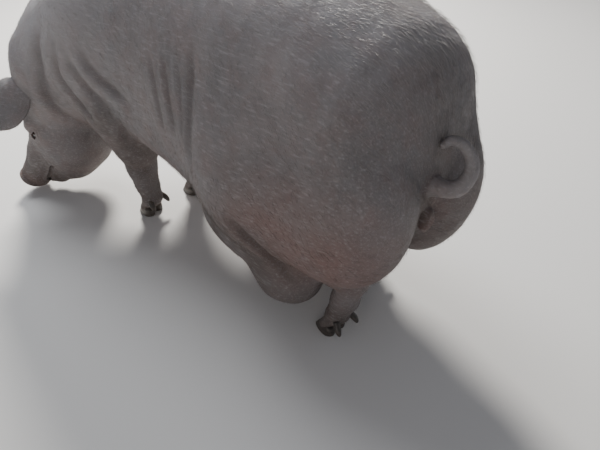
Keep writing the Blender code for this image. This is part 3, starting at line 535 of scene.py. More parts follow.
# Patterns: scale, detail, roughness and stretch of a noise, then the range it is read over and what it gives
MOTTLE = ((5.0, 4.0, 0.6), (0.35, 0.68))
BLOTCHES = ((17.0, 3.0, 0.6), (0.45, 0.70, 0.0, 0.28))
PINK_PATCHES = ((9.0,), (0.3, 0.6, 0.55, 1.0))
DIRT_PATCHES = ((7.0, 5.0, 0.65), (0.38, 0.62))
DIRT_SPECKS = ((60.0, 4.0, 0.7), (0.56, 0.68, 0.0, 0.45))
DIRT_BETWEEN = 0.5
SKIN_STREAKS = ((22.0, 3.0, 0.7, (1.0, 9.0, 9.0)), (0.52, 0.72, 0.0, 0.35))
SKIN_ROUGH = ((30.0, 4.0), (0.3, 0.7, 0.55, 0.78))
IRIS_FLECKS = ((500.0, 2.0), (0.3, 0.7))
HORN_GROWTH = (26.0, 3.0, 0.55, (0.35, 0.35, 5.0))
HORN_SHADES = (0.35, 0.7)
HORN_DUSTY = ((38.0, 5.0, 0.7), (0.5, 0.75, 0.0, 0.40))
HORN_ROUGH = (0.0, 0.40, 0.36, 0.70)
# Fine relief in the materials: its noise or cells, then strength and depth in metres
HAIR_LINES = ((120.0, 2.0, 0.6, (0.12, 1.0, 1.0)), (0.5, 0.0012))
SKIN_CELLS = ((85.0, (1.0, 1.0, 0.7)), (0.0, 0.12), (0.22, 0.0010))
SKIN_PORES = ((26.0, 4.0, 0.6), (0.30, 0.0040))
HORN_PITS = ((150.0, 3.0), (0.3, 0.0006))
HORN_RINGS = (0.6, 0.0012)
# Where on the eye, counted from its middle to the edge of its iris, the pupil and the iris end
PUPIL_END = (0.36, 0.42)
IRIS_END = (0.80, 0.92)

# Colours
SKIN_CLEAN = (0.235, 0.212, 0.212)
SKIN_DUSTY = (0.165, 0.158, 0.162)
# Pale skin, also the colour of painted light
SKIN_PALE_AND_LIT = (0.470, 0.455, 0.462)
SKIN_PINK = (0.215, 0.132, 0.118)
# Dirt, also the colour of painted shade
SKIN_DIRT_AND_SHADE = (0.095, 0.075, 0.066)
# Painted shade in the creases
SKIN_CREASE_SHADE = (0.072, 0.056, 0.053)
COAT_CLEAN = (0.380, 0.355, 0.335)
COAT_DUSTY = (0.270, 0.252, 0.240)
COAT_PINK = (0.300, 0.225, 0.205)
# Dirt on the coat, also the colour of painted shade
COAT_DIRT_AND_SHADE = (0.160, 0.130, 0.108)
HORN_DARK = (0.030, 0.025, 0.022)
HORN_BROWN = (0.078, 0.061, 0.050)
HORN_DUST = (0.160, 0.140, 0.122)
EYE_PUPIL = (0.004, 0.003, 0.003)
EYE_BROWN = (0.030, 0.015, 0.009)
EYE_AMBER = (0.060, 0.030, 0.016)
EYE_WHITE = (0.090, 0.068, 0.060)
FLOOR_COLOUR = (0.72, 0.71, 0.69)

# Half width of the floor
FLOOR_HALF = 9

# Camera: the photo's width, the sensor's, and the focal length in the photo's pixels
PHOTO_WIDTH = 600
SENSOR = 36.0
FOCAL_PIXELS = 462.0
# Degrees that the camera is turned left of +Y and tipped down, and where it stands
CAMERA_TURN = 39.5
CAMERA_DOWN = 41.5
CAMERA_HEIGHT = 1.16
CAMERA_GROUND = (0.8844, -0.8562)
CAMERA_NEAREST = 0.05

# Light: the sky's colour and strength
SKY_COLOUR = (0.86, 0.90, 1.0)
SKY_STRENGTH = 0.27
# What the lamps point at, then each lamp's place, size, power and colour
LAMP_AIM = (0.0, 0.0, 0.45)
LAMPS = {
    "key": ((-2.8, 2.5, 3.5), 1.2, 460.0, (1.0, 0.97, 0.92)),
    "top": ((-2.0, 0.5, 4.0), 2.2, 100.0, (0.93, 0.96, 1.0)),
    "fill": ((1.3, -2.8, 0.9), 2.0, 14.0, (1.0, 0.90, 0.82)),
}


def unit(vector):
    vector = np.asarray(vector, float)
    return vector / np.linalg.norm(vector)


def head_frame():
    """Rows: the head's forward, up and left directions."""
    forward = unit(HEAD_FORWARD)
    up = np.asarray(HEAD_UP, float)
    up = unit(up - forward * up.dot(forward))
    return np.array((forward, up, np.cross(up, forward)))


HEAD_FRAME = head_frame()


def straighten(points):
    """World points as they'd be with a straight spine."""
    along = points[:, 0] - CENTRE_SHIFT[0] - BEND_X
    across = points[:, 1] - CENTRE_SHIFT[1] + BEND_RADIUS
    turn = np.arctan2(along, across)
    x = BEND_X + BEND_RADIUS * turn
    y = np.hypot(along, across) - BEND_RADIUS
    return np.column_stack((x, y, points[:, 2]))


def bend(points):
    """Points of the straight sow moved to where the bent spine carries them."""
    points = np.asarray(points, float).reshape(-1, 3)
    turn = (points[:, 0] - BEND_X) / BEND_RADIUS
    reach = BEND_RADIUS + points[:, 1]
    x = BEND_X + reach * np.sin(turn) + CENTRE_SHIFT[0]
    y = reach * np.cos(turn) - BEND_RADIUS + CENTRE_SHIFT[1]
    return np.column_stack((x, y, points[:, 2]))


def from_head(points):
    """Points given in the head's directions, as points of the straight sow."""
    return np.asarray(points, float).reshape(-1, 3) @ HEAD_FRAME * HEAD_SCALE + np.array(SKULL)


def in_head(straight):
    """Points of the straight sow in the head's directions."""
    return (straight - np.array(SKULL)) @ HEAD_FRAME.T / HEAD_SCALE


def to_head(points):
    """World points in the head's directions, its right half laid over the left."""
    local = in_head(straighten(points))
    local[:, 2] = np.abs(local[:, 2])
    return local


def side_of(foot):
    return SIDES[foot.split("_")[1]]


def mirrored(form, side):
    """A centre and radii given for the left side, as seen on side 1, the left, or -1, the right."""
    (x, y, z), radii = form
    return ((x, y * side, z), radii)


def union(a, b, soft):
    blend = np.clip(0.5 + 0.5 * (b - a) / soft, 0.0, 1.0)
    return b + (a - b) * blend - soft * blend * (1.0 - blend)


def cut(a, b, soft):
    return -union(-a, b, soft)


def joined(pieces, soft):
    return functools.reduce(lambda found, piece: union(found, piece, soft), pieces)


def with_forms(found, forms):
    """Adds round forms in turn, each given by its name, the points to use, and its centre and radii."""
    for name, points, form in forms:
        found = union(found, ellipsoid(points, *form), BLEND[name])
    return found


def ellipsoid(points, centre, radii):
    offset = points - np.array(centre)
    radii = np.array(radii)
    level = np.sqrt(((offset / radii) ** 2).sum(1))
    slope = np.sqrt(((offset / radii**2) ** 2).sum(1))
    return level * (level - 1.0) / np.maximum(slope, TINY)


def capsule(points, start, end, start_radius, end_radius):
    start = np.array(start, float)
    axis = np.array(end, float) - start
    share = np.clip((points - start) @ axis / axis.dot(axis), 0.0, 1.0)
    nearest = start + share[:, None] * axis
    return np.linalg.norm(points - nearest, axis=1) - (start_radius + share * (end_radius - start_radius))


def chain(points, joints, soft):
    """Capsules through joints, each joint being x, y, z, radius."""
    spans = zip(joints[:-1], joints[1:])
    return joined((capsule(points, a[:3], b[:3], a[3], b[3]) for a, b in spans), soft)


def station(x, column):
    """A smooth value along the trunk from its stations."""
    places = np.array([row[0] for row in TRUNK])[::-1]
    values = np.array([row[column] for row in TRUNK])[::-1]
    slopes = np.gradient(values, places)
    index = np.clip(np.searchsorted(places, x) - 1, 0, len(places) - 2)
    step = places[index + 1] - places[index]
    share = np.clip((x - places[index]) / step, 0.0, 1.0)
    rise = values[index + 1] - values[index]
    ease = share * share * (3.0 - 2.0 * share)
    start_pull = slopes[index] * step * share * (1.0 - share) ** 2
    end_pull = slopes[index + 1] * step * share**2 * (share - 1.0)
    return values[index] + rise * ease + start_pull + end_pull


def trunk(points):
    x = points[:, 0]
    top, widest, bottom, half = (station(x, column) for column in (1, 2, 3, 4))
    lift = points[:, 2] - widest
    tall = np.where(lift > 0.0, top - widest, widest - bottom)
    power = TRUNK_SQUARENESS
    side = np.abs(points[:, 1]) / half
    rise = np.abs(lift) / tall
    level = np.maximum((side**power + rise**power) ** (1.0 / power), SMALL)
    slope = np.hypot(side ** (power - 1.0) / half, rise ** (power - 1.0) / tall) / level ** (power - 1.0)
    body = (level - 1.0) / np.maximum(slope, SMALL)
    ends = np.maximum(x - TRUNK[0][0], TRUNK[-1][0] - x)
    return np.maximum(body, ends)


def leg_joints(foot, joints):
    """Joints of one leg, at its foot, with its own lean."""
    x, y = FOOT[foot]
    found = []
    for step, inward, z, radius in joints:
        lean = LEG_LEAN[foot] * (z / LEAN_HEIGHT) ** 2
        found.append((x + step + lean, y + side_of(foot) * inward, z, radius))
    return found


def toes(points, foot):
    x, y = FOOT[foot]
    (top_x, top_z, top_radius), (end_x, end_z, end_radius) = TOE_TOP, TOE_END
    pieces = []
    for step in (-TOE_STEP, TOE_STEP):
        top, end = (x + top_x, y + step * TOE_TOP_STEP, top_z), (x + end_x, y + step, end_z)
        pieces.append(capsule(points, top, end, top_radius, end_radius))
    return joined(pieces, BLEND["toes"])


def leg(points, foot):
    hind = foot.startswith("hind")
    found = chain(points, leg_joints(foot, HIND_JOINTS if hind else FORE_JOINTS), BLEND["leg_joints"])
    if hind:
        hock = leg_joints(foot, ((*HOCK_POINT, 0.0),))[0][:3]
        found = with_forms(found, [("hock", points, (hock, HOCK_RADII))])
    return union(found, toes(points, foot), BLEND["foot"])


def legs(points):
    return functools.reduce(np.minimum, (leg(points, foot) for foot in FOOT))


@functools.lru_cache(maxsize=None)
def teat_roots():
    """Where each teat leaves the underside of the torso."""
    heights = np.linspace(*TEAT_SEARCH)
    found = []
    for x in TEAT_X:
        for side in (-1, 1):
            line = np.column_stack((np.full_like(heights, x), np.full_like(heights, side * TEAT_Y), heights))
            lowest = heights[np.argmax(torso(line) < 0.0)]
            found.append((x, side * TEAT_Y, lowest))
    return found


def teat(points, x, y, z):
    base, tip = (x, y, z + TEAT_LENGTH * 0.5), (x, y * TEAT_SPREAD, z - TEAT_LENGTH)
    return capsule(points, base, tip, TEAT_RADIUS, TEAT_RADIUS * TEAT_TAPER)


def teats(points):
    return functools.reduce(np.minimum, (teat(points, *root) for root in teat_roots()))


def torso(points):
    body = trunk(points)
    for side in (1, -1):
        drop, step = (0.0, 0.0) if side == 1 else (BUTTOCK_DROP, UDDER_STEP)
        lower, ahead = points + (0.0, 0.0, drop), points + (step, 0.0, 0.0)
        body = with_forms(body, (
            ("ham", points, mirrored(HAM, side)),
            ("buttock", lower, mirrored(BUTTOCK, side)),
            ("shoulder", points, mirrored(SHOULDER, side)),
            ("udder", ahead, mirrored(UDDER, side)),
            ("udder", ahead, mirrored(UDDER_BACK, side)),
        ))
    return with_forms(body, (("belly", points, BELLY), ("brisket", points, BRISKET)))


def under_tail(points, body):
    body = with_forms(body, [("vulva", points, VULVA)])
    (x, _, z), _ = VULVA
    slit_radius, slit_half = VULVA_SLIT
    top_back, end_back = SLIT_BACK
    slit_top, slit_end = (x + top_back, 0.0, z + slit_half), (x + end_back, 0.0, z - slit_half)
    body = cut(body, capsule(points, slit_top, slit_end, slit_radius, slit_radius), BLEND["slit"])
    return cut(body, ellipsoid(points, *ANUS), BLEND["anus"])


def neck(points):
    found = chain(points, NECK, BLEND["neck_joints"])
    return with_forms(found, (("nape", points, NAPE), ("throat", points, THROAT)))


def head(points):
    """The head with brows, lids, lips, mouth line, snout disc and nostrils."""
    local = in_head(points)
    mirror = local.copy()
    mirror[:, 2] = np.abs(mirror[:, 2])
    found = ellipsoid(local, *CRANIUM)
    found = with_forms(found, (
        ("forehead", local, FOREHEAD), ("cheek", mirror, CHEEK), ("jowl", local, JOWL),
    ))
    for name, joints in (("muzzle", MUZZLE), ("chin", CHIN)):
        piece = chain(local, [(f, u, 0.0, r) for f, u, r in joints], BLEND[name + "_joints"])
        found = union(found, piece, BLEND[name])
    lid = (EYE_AT, (LID_RADIUS,) * 3)
    found = with_forms(found, (
        ("brow", mirror, BROW), ("ear_base", mirror, EAR_BASE), ("disc", local, DISC), ("lid", mirror, lid),
    ))
    lips = chain(mirror, [(*place, LIP_RADIUS) for place in LIPS], BLEND["lip_joints"])
    found = union(found, lips, BLEND["lips"])
    found = cut(found, chain(mirror, MOUTH, BLEND["mouth_joints"]), BLEND["mouth"])
    found = cut(found, ellipsoid(mirror, *NOSTRIL), BLEND["nostril"])
    forward, up, left = EYE_AT
    slit = ellipsoid(mirror, (forward, up, left + LID_SLIT_OUT), LID_SLIT)
    return cut(found, slit, BLEND["lid_slit"]) * HEAD_SCALE


def where(points, chosen, form):
    """A form's field at the chosen points, and far away at the others."""
    found = np.full(len(points), FAR)
    if chosen.any():
        found[chosen] = form(points[chosen])
    return found


def sampled(field, low, high, cell):
    """The field on a grid, worked out only in blocks near the surface."""
    size = SMALLEST_BLOCK
    low = np.array(low, float)
    blocks = np.ceil((np.array(high) - low) / cell / size).astype(int)
    middle = [low[i] + (np.arange(blocks[i]) + 0.5) * size * cell for i in range(3)]
    centres = np.stack(np.meshgrid(*middle, indexing="ij"), -1).reshape(-1, 3)
    coarse = field(centres)
    reach = size * cell * math.sqrt(3.0) * 0.5 * BLOCK_MARGIN
    near = (np.abs(coarse) < reach) | (within(straighten(centres), TRUNK_END) > 0.0)
    values = np.repeat(coarse[:, None], size**3, 1)
    steps = (np.arange(size) - size / 2) * cell
    offsets = np.stack(np.meshgrid(steps, steps, steps, indexing="ij"), -1).reshape(-1, 3)
    inside = centres[near][:, None, :] + offsets[None]
    values[near] = field(inside.reshape(-1, 3)).reshape(-1, size**3)
    values = values.reshape(*blocks, size, size, size)
    values = values.transpose(0, 3, 1, 4, 2, 5).reshape(*(blocks * size))
    for axis in range(3):
        rim = np.moveaxis(values, axis, 0)
        rim[0] = np.maximum(rim[0], cell)
        rim[-1] = np.maximum(rim[-1], cell)
    return values


def without_pinches(values, cell):
    """Fills samples where the surface would meet itself along an edge, so that each edge has two faces."""
    for _ in range(PINCH_ROUNDS):
        found = 0
        for axis in range(3):
            layers = np.moveaxis(values, axis, 2)
            a, b = layers[:-1, :-1], layers[1:, :-1]
            c, d = layers[1:, 1:], layers[:-1, 1:]
            for first, second, other, last in ((a, c, b, d), (b, d, a, c)):
                pinched = (first < 0.0) & (second < 0.0) & (other >= 0.0) & (last >= 0.0)
                found += int(pinched.sum())
                other[pinched] = -PINCH_DEPTH * cell
        if not found:
            break
    return values


def net(values, low, cell):
    """One point in each cell that the surface crosses, and one square for each crossed edge."""
    inside = values < 0.0
    total = np.zeros([n - 1 for n in values.shape] + [3])
    count = np.zeros([n - 1 for n in values.shape])
    for axis in range(3):
        ahead = np.take(values, range(1, values.shape[axis]), axis)
        behind = np.take(values, range(values.shape[axis] - 1), axis)
        crossed = (ahead < 0.0) != (behind < 0.0)
        share = np.where(crossed, behind / np.where(crossed, behind - ahead, 1.0), 0.0)
        others = [other for other in range(3) if other != axis]
        for a in (0, 1):
            for b in (0, 1):
                window = [slice(None)] * 3
                window[others[0]] = slice(a, values.shape[others[0]] - 1 + a)
                window[others[1]] = slice(b, values.shape[others[1]] - 1 + b)
                hit = crossed[tuple(window)]
                place = np.zeros(hit.shape + (3,))
                place[..., axis] = share[tuple(window)]
                place[..., others[0]] = a
                place[..., others[1]] = b
                total += place * hit[..., None]
                count += hit
    used = count > 0
    number = np.full(used.shape, -1)
    number[used] = np.arange(used.sum())
    corner = np.argwhere(used)
    points = np.array(low) + (corner + total[used] / count[used][:, None]) * cell
    return points, net_squares(inside, number)


def net_squares(inside, number):
    squares = []
    for axis in range(3):
        first, second = [(axis + 1) % 3, (axis + 2) % 3]
        ahead = np.take(inside, range(1, inside.shape[axis]), axis)
        behind = np.take(inside, range(inside.shape[axis] - 1), axis)
        for leaving in (True, False):
            crossed = behind & ~ahead if leaving else ahead & ~behind
            at = np.argwhere(crossed)
            at = at[(at[:, first] > 0) & (at[:, second] > 0)]
            corners = []
            for back in ((1, 1), (0, 1), (0, 0), (1, 0)):
                cell = at.copy()
                cell[:, first] -= back[0]
                cell[:, second] -= back[1]
                corners.append(number[tuple(cell.T)])
            order = corners if leaving else corners[::-1]
            squares.append(np.column_stack(order))
    return np.concatenate(squares)


def smooth_joints(joints, steps):
    """Points of a smooth curve through the joints, steps to each span."""
    joints = np.array(joints, float)
    padded = np.vstack((2 * joints[0] - joints[1], joints, 2 * joints[-1] - joints[-2]))
    found = []
    for i in range(len(joints) - 1):
        a, b, c, d = padded[i : i + 4]
        for step in range(steps):
            t = step / steps
            square = 2 * a - 5 * b + 4 * c - d
            cube = 3 * b - a - 3 * c + d
            found.append(0.5 * (2 * b + (c - a) * t + square * t**2 + cube * t**3))
    found.append(joints[-1])
    return np.array(found)


def ear_frame(along):
    """Unit ways at a share of the ear's length: along it, across it and out of its open side."""
    share = min(1.0, EAR_FLOP * along)
    share = share * share * (3.0 - 2.0 * share)
    way = unit(np.array(EAR_START) * (1.0 - share) + np.array(EAR_END) * share)
    facing = np.array(EAR_OPEN_START) * (1.0 - share) + np.array(EAR_OPEN_END) * share
    facing = unit(facing - way * facing.dot(way))
    return way, np.cross(facing, way), facing


@functools.lru_cache(maxsize=None)
def ear_spine(along):
    """Place on the ear's middle line at a share of its length, with the ways across and out there."""
    place = np.array(EAR_ROOT)
    for step in range(EAR_STEPS):
        part = min(max(along * EAR_STEPS - step, 0.0), 1.0)
        place = place + ear_frame((step + 0.5) / EAR_STEPS)[0] * part * EAR_LENGTH / EAR_STEPS
    _, wide, facing = ear_frame(along)
    return place, wide, facing


def ear_sheet(along, across, side):
    """Middle of the ear's sheet: along runs 0 to 1 from root to tip, across from -1 to 1."""
    place, wide, facing = ear_spine(along)
    start, swell, narrow = EAR_LEAF
    leaf = start + swell * along - narrow * along**2
    leaf = leaf * (1.0 - along**4) ** EAR_LEAF_TIP + EAR_LEAF_LEAST
    tip, root = EAR_CURL
    curl = tip + (root - tip) * (1.0 - along) ** 3
    radius = EAR_HALF_WIDTH * leaf / curl
    place = place + wide * radius * math.sin(curl * across)
    place = place + facing * radius * (1.0 - math.cos(curl * across))
    place[2] *= side
    return place


def claw_outline(share):
    """Half outline of the sole: forward place and side place for a share of the way round."""
    angle = 2.0 * math.pi * share
    forward = math.cos(angle)
    side = math.sin(angle)
    narrow = min(1.0 - CLAW_NARROWS * (forward + CLAW_NARROWS_BEHIND), CLAW_WIDEST)
    return 0.5 * CLAW_LENGTH * forward, 0.5 * CLAW_WIDTH * side * narrow


def sow(points):
    """The whole sow's flesh with its tail: below zero inside."""
    straight = straighten(points)
    x, z = straight[:, 0], straight[:, 2]
    body = where(straight, x > TRUNK[-1][0] - TORSO_REACH, torso)
    limbs = where(straight, z < LEG_TOP, legs)
    limbs = union(limbs, where(straight, z < TEAT_TOP, teats), BLEND["teats"])
    body = union(body, limbs, BLEND["limbs"])
    behind = x > VULVA[0][0] - TAIL_REACH
    body[behind] = under_tail(straight[behind], body[behind])
    near_tail = (x > TAIL[0][0] - TAIL_REACH) & (z > TAIL_LOWEST)
    body = union(body, where(straight, near_tail, tail_flesh), BLEND["tail"])
    body = union(body, where(straight, x < NECK_BACK, neck), BLEND["neck"])
    return union(body, where(straight, x < SKULL[0] + HEAD_REACH, head), BLEND["head"]) + SKIN_DEPTH


def tail_flesh(points):
    return chain(points, [tuple(joint) for joint in smooth_joints(TAIL, 3)], BLEND["tail_joints"])


def within(points, zone):
    """How far inside an ellipsoid zone, 1 at its middle and 0 at its edge and beyond."""
    centre, radii = zone
    level = np.sqrt((((points - np.array(centre)) / np.array(radii)) ** 2).sum(1))
    return np.clip(1.0 - level, 0.0, 1.0)


def split_faces(points, faces, chosen):
    """Splits the chosen squares in four; their neighbours take the new points on the shared edges."""
    points = [tuple(point) for point in points]
    middles = {}

    def middle(a, b):
        key = (a, b) if a < b else (b, a)
        if key not in middles:
            middles[key] = len(points)
            points.append(tuple(0.5 * (points[a][i] + points[b][i]) for i in range(3)))
        return middles[key]

    picked = [index for index, face in enumerate(faces) if chosen[index] and len(face) == 4]
    made = []
    for index in picked:
        face = faces[index]
        around = [middle(face[k], face[(k + 1) % 4]) for k in range(4)]
        centre = len(points)
        points.append(tuple(sum(points[v][i] for v in face) / 4.0 for i in range(3)))
        made += [(around[k - 1], face[k], around[k], centre) for k in range(4)]
    left = set(picked)
    for index, face in enumerate(faces):
        if index in left:
            continue
        loop = []
        for k, a in enumerate(face):
            b = face[(k + 1) % len(face)]
            loop.append(a)
            key = (a, b) if a < b else (b, a)
            if key in middles:
                loop.append(middles[key])
        made.append(tuple(loop))
    return np.array(points), made


def face_centres(points, faces):
    corners = np.array([len(face) for face in faces])
    firsts = np.concatenate(([0], np.cumsum(corners)[:-1]))
    loops = np.array([corner for face in faces for corner in face])
    return np.add.reduceat(points[loops], firsts, axis=0) / corners[:, None]


def settled(points):
    """Points moved onto the surface of the field."""
    for _ in range(SETTLE_ROUNDS):
        level, slope = level_and_slope(points)
        step = level / np.maximum((slope**2).sum(1), LEAST_STEEPNESS)
        points = points - slope * np.clip(step, -SETTLE_STEP, SETTLE_STEP)[:, None]
    return points


def level_and_slope(points):
    level = sow(points)
    slope = np.empty_like(points)
    for axis in range(3):
        step = np.zeros(3)
        step[axis] = SLOPE_STEP
        slope[:, axis] = (sow(points + step) - level) / SLOPE_STEP
    return level, slope


@functools.lru_cache(maxsize=None)
def crease_lines():
    """Each crease as closely spaced places of the side view, with its width, depth and roll."""
    found = []
    for line, width, depth, roll in CREASES.values():
        joints = [(x, z, 0.0, 0.0) for x, z in line]
        found.append((smooth_joints(joints, CREASE_STEPS)[:, :2], width, depth, roll))
    return found


def line_distance(places, line):
    """Distance of side-view places from a line, which side of it they lie on, and the share along it."""
    best = np.full(len(places), FAR)
    side = np.zeros(len(places))
    share = np.zeros(len(places))
    for index, (start, end) in enumerate(zip(line[:-1], line[1:])):
        axis = end - start
        along = np.clip((places - start) @ axis / axis.dot(axis), 0.0, 1.0)
        offset = places - (start + along[:, None] * axis)
        distance = np.hypot(offset[:, 0], offset[:, 1])
        nearer = distance < best
        best[nearer] = distance[nearer]
        side[nearer] = np.sign(axis[0] * offset[nearer, 1] - axis[1] * offset[nearer, 0])
        share[nearer] = (index + along[nearer]) / (len(line) - 1)
    return best, side, share


def creases(straight, normals):
    """Depth of the creases below the skin, and how far into a crease each place lies, which sets the painted
    shade there.
    """
    wander = np.column_stack([lumps(straight, WANDER_LENGTH, seed) for seed in WANDER_SEEDS])
    places = straight[:, (0, 2)] + wander * CREASE_WANDER
    facing = ramp(np.abs(normals[:, 1]), *CREASE_FACING)
    roll_place, roll_width = CREASE_ROLL
    relief = np.zeros(len(straight))
    crease_shade = np.zeros(len(straight))
    for line, width, depth, roll in crease_lines():
        distance, side, share = line_distance(places, line)
        ends = np.clip(np.minimum(share, 1.0 - share) * CREASE_FADE, 0.0, 1.0)
        weight = facing * ends * (3.0 - 2.0 * ends) * ends
        groove = np.exp(-((distance / width) ** 2)) * weight
        swell = np.exp(-(((distance - width * roll_place) / (width * roll_width)) ** 2)) * weight * (side < 0)
        relief += roll * swell - depth * groove
        crease_shade = np.maximum(crease_shade, groove)
    return relief, crease_shade


def ramp(values, low, high):
    """0 at low and before it, 1 at high and past it; high may be the smaller one."""
    return np.clip((values - low) / (high - low), 0.0, 1.0)


def ripple(values, length):
    return np.cos(2.0 * math.pi * values / length)


def lumps(straight, size, seed):
    """Smooth uneven swellings between -1 and 1, a few waves in seeded directions."""
    draw = np.random.default_rng(seed)
    found = np.zeros(len(straight))
    for _ in range(LUMP_WAVES):
        way = draw.normal(size=3)
        way /= np.linalg.norm(way)
        length = size * draw.uniform(*LUMP_LENGTHS)
        found += np.sin(straight @ way * 2.0 * math.pi / length + draw.uniform(0.0, WHOLE_TURN))
    return found / LUMP_WAVES


def relief_of(points, normals):
    """How far the skin stands out from the plain forms, and how far each place lies in a crease, for the
    painted crease shade.
    """
    straight = straighten(points)
    relief, crease_shade = creases(straight, normals)
    x, y, z = straight.T
    relief += sum(depth * lumps(straight, length, seed) for depth, length, seed in LUMPS)
    ribs = within(straight, RIBS)
    relief += RIB_FOLD * ribs * ripple(x + RIB_SLANT * (z - RIBS[0][2]), RIB_SPACING)
    under = np.clip(-normals[:, 2], 0.0, 1.0)
    length, width = GLAND_SIZE
    for teat_x in TEAT_X:
        gland = np.exp(-(((x - teat_x) / length) ** 2) - ((np.abs(y) - GLAND_Y) / width) ** 2)
        relief += GLAND_SWELL * gland * (z < GLAND_TOP) * under
    for foot_x, foot_y in FOOT.values():
        near = np.exp(-(((x - foot_x) / LEG_REACH) ** 2 + ((y - foot_y) / LEG_REACH) ** 2))
        shown = ramp(z, *LEG_WRINKLE_HIGH) * ramp(z, *LEG_WRINKLE_LOW)
        relief += LEG_WRINKLE * near * shown * ripple(z + LEG_SLANT * (x - foot_x), LEG_SPACING)
    return relief + face_relief(points), crease_shade


def face_relief(points):
    """Wrinkles of the muzzle and the cheeks, and the rings round the eyes."""
    local = to_head(points)
    forward, up, left = local.T
    uneven = UNEVEN_SHARE + UNEVEN_SHARE * lumps(points, *FACE_UNEVEN)
    bridge = np.minimum(1.0, 2.0 * within(local, MUZZLE_ZONE)) * uneven
    across = forward - MUZZLE_SLANT * left + MUZZLE_SHIFT * uneven
    relief = MUZZLE_WRINKLE * bridge * ripple(across, MUZZLE_SPACING)
    eye = np.hypot((forward - EYE_AT[0]) / EYE_LONG, up - EYE_AT[1])
    out, before = BESIDE_EYE
    beside = (left > out) & (forward < before)
    rings = sum(share * np.exp(-(((eye - radius) / width) ** 2)) for share, radius, width in EYE_RINGS)
    relief += EYE_RING * rings * beside * uneven
    cheek = np.minimum(1.0, 2.0 * within(local, CHEEK_ZONE)) * uneven
    across = forward + CHEEK_SLANT * up + CHEEK_SHIFT * uneven
    return relief + CHEEK_WRINKLE * cheek * ripple(across, CHEEK_SPACING)


def build_ear(name, side):
    """A fine cupped leaf, thick at its root, with a rolled rim and veins."""
    rows, columns = EAR_ROWS, EAR_COLUMNS
    alongs = np.linspace(0.0, 1.0, rows + 1)
    acrosses = np.linspace(-1.0, 1.0, columns + 1)
    middle = np.array([[ear_sheet(a, c, side) for c in acrosses] for a in alongs])
    down = np.gradient(middle, axis=0)
    wide = np.gradient(middle, axis=1)
    normal = np.cross(down, wide)
    normal /= np.linalg.norm(normal, axis=2)[..., None]
    root, tip = (thickness * EAR_THIN for thickness in EAR_THICKNESS)
    a, c = alongs[:, None], acrosses[None, :]
    power, least = EAR_EDGE
    thick = (root + (tip - root) * a) * 0.5 * np.sqrt(np.maximum(1.0 - c**power, least))
    height, number = EAR_VEINS
    veins = height * np.cos(c * number + 3.0 * a) * (1.0 - a)
    height, number = EAR_WAVE
    wave = height * np.sin(a * number + side) * c**2 * a
    middle = middle + normal * wave[..., None]
    front = (middle + normal * thick[..., None]).reshape(-1, 3)
    back = (middle - normal * (thick + veins)[..., None]).reshape(-1, 3)
    obj = new_object(name, bend(from_head(np.vstack((front, back)))), sheet_faces(rows, columns))
    face_out(obj)
    return obj


def sheet_faces(rows, columns):
    """Squares of a closed sheet: its front, its back and the rim between them."""
    width = columns + 1
    back = width * (rows + 1)
    faces = []
    for r in range(rows):
        for k in range(columns):
            i = r * width + k
            faces.append((i, i + 1, i + 1 + width, i + width))
            faces.append(tuple(j + back for j in (i + width, i + 1 + width, i + 1, i)))
    edge = list(range(width))
    edge += [r * width + columns for r in range(1, rows + 1)]
    edge += [rows * width + k for k in range(columns - 1, -1, -1)]
    edge += [r * width for r in range(rows - 1, 0, -1)]
    return faces + [(j, i, i + back, j + back) for i, j in zip(edge, edge[1:] + edge[:1])]


def new_object(name, points, faces):
    sizes = [len(face) for face in faces]
    return filled(name, np.asarray(points), np.array([corner for face in faces for corner in face]), sizes)


def filled(name, points, corners, sizes):
    """An object whose mesh comes from arrays of points, face corners and face sizes."""
    mesh = bpy.data.meshes.new(name)
    mesh.vertices.add(len(points))
    mesh.vertices.foreach_set("co", points.astype(np.float32).ravel())
    mesh.loops.add(len(corners))
    mesh.loops.foreach_set("vertex_index", corners.astype(np.int32))
    mesh.polygons.add(len(sizes))
    starts = np.concatenate(([0], np.cumsum(sizes)[:-1])).astype(np.int32)
    mesh.polygons.foreach_set("loop_start", starts)
    mesh.update(calc_edges=True)
    mesh.validate()
    obj = bpy.data.objects.new(name, mesh)
    bpy.context.scene.collection.objects.link(obj)
    return obj


def face_out(obj):
    work = bmesh.new()
    work.from_mesh(obj.data)
    bmesh.ops.recalc_face_normals(work, faces=work.faces)
    if work.calc_volume(signed=True) < 0.0:
        bmesh.ops.reverse_faces(work, faces=work.faces)
    work.to_mesh(obj.data)
    work.free()


def smooth_shaded(obj):
    obj.data.polygons.foreach_set("use_smooth", np.ones(len(obj.data.polygons), bool))


def points_of(mesh):
    points = np.empty(len(mesh.vertices) * 3, np.float32)
    mesh.vertices.foreach_get("co", points)
    return points.reshape(-1, 3).astype(float)


def normals_of(mesh):
    normals = np.empty(len(mesh.vertices) * 3, np.float32)
    mesh.vertex_normals.foreach_get("vector", normals)
    return normals.reshape(-1, 3).astype(float)


def settle(obj):
    """Replaces the object's mesh with what its modifiers make of it."""
    graph = bpy.context.evaluated_depsgraph_get()
    made = bpy.data.meshes.new_from_object(obj.evaluated_get(graph))
    obj.modifiers.clear()
    old = obj.data
    obj.data = made
    bpy.data.meshes.remove(old)


def largest_only(points, faces):
    """Keeps the largest connected surface."""
    parent = np.arange(len(points))
    flat = np.asarray(faces)
    for _ in range(LINK_ROUNDS):
        low = parent[flat].min(1)
        before = parent.copy()
        for column in range(flat.shape[1]):
            np.minimum.at(parent, flat[:, column], low)
        parent = parent[parent]
        if (parent == before).all():
            break
    roots, counts = np.unique(parent, return_counts=True)
    keep = parent == roots[counts.argmax()]
    number = np.cumsum(keep) - 1
    flat = flat[keep[flat[:, 0]]]
    return points[keep], number[flat]


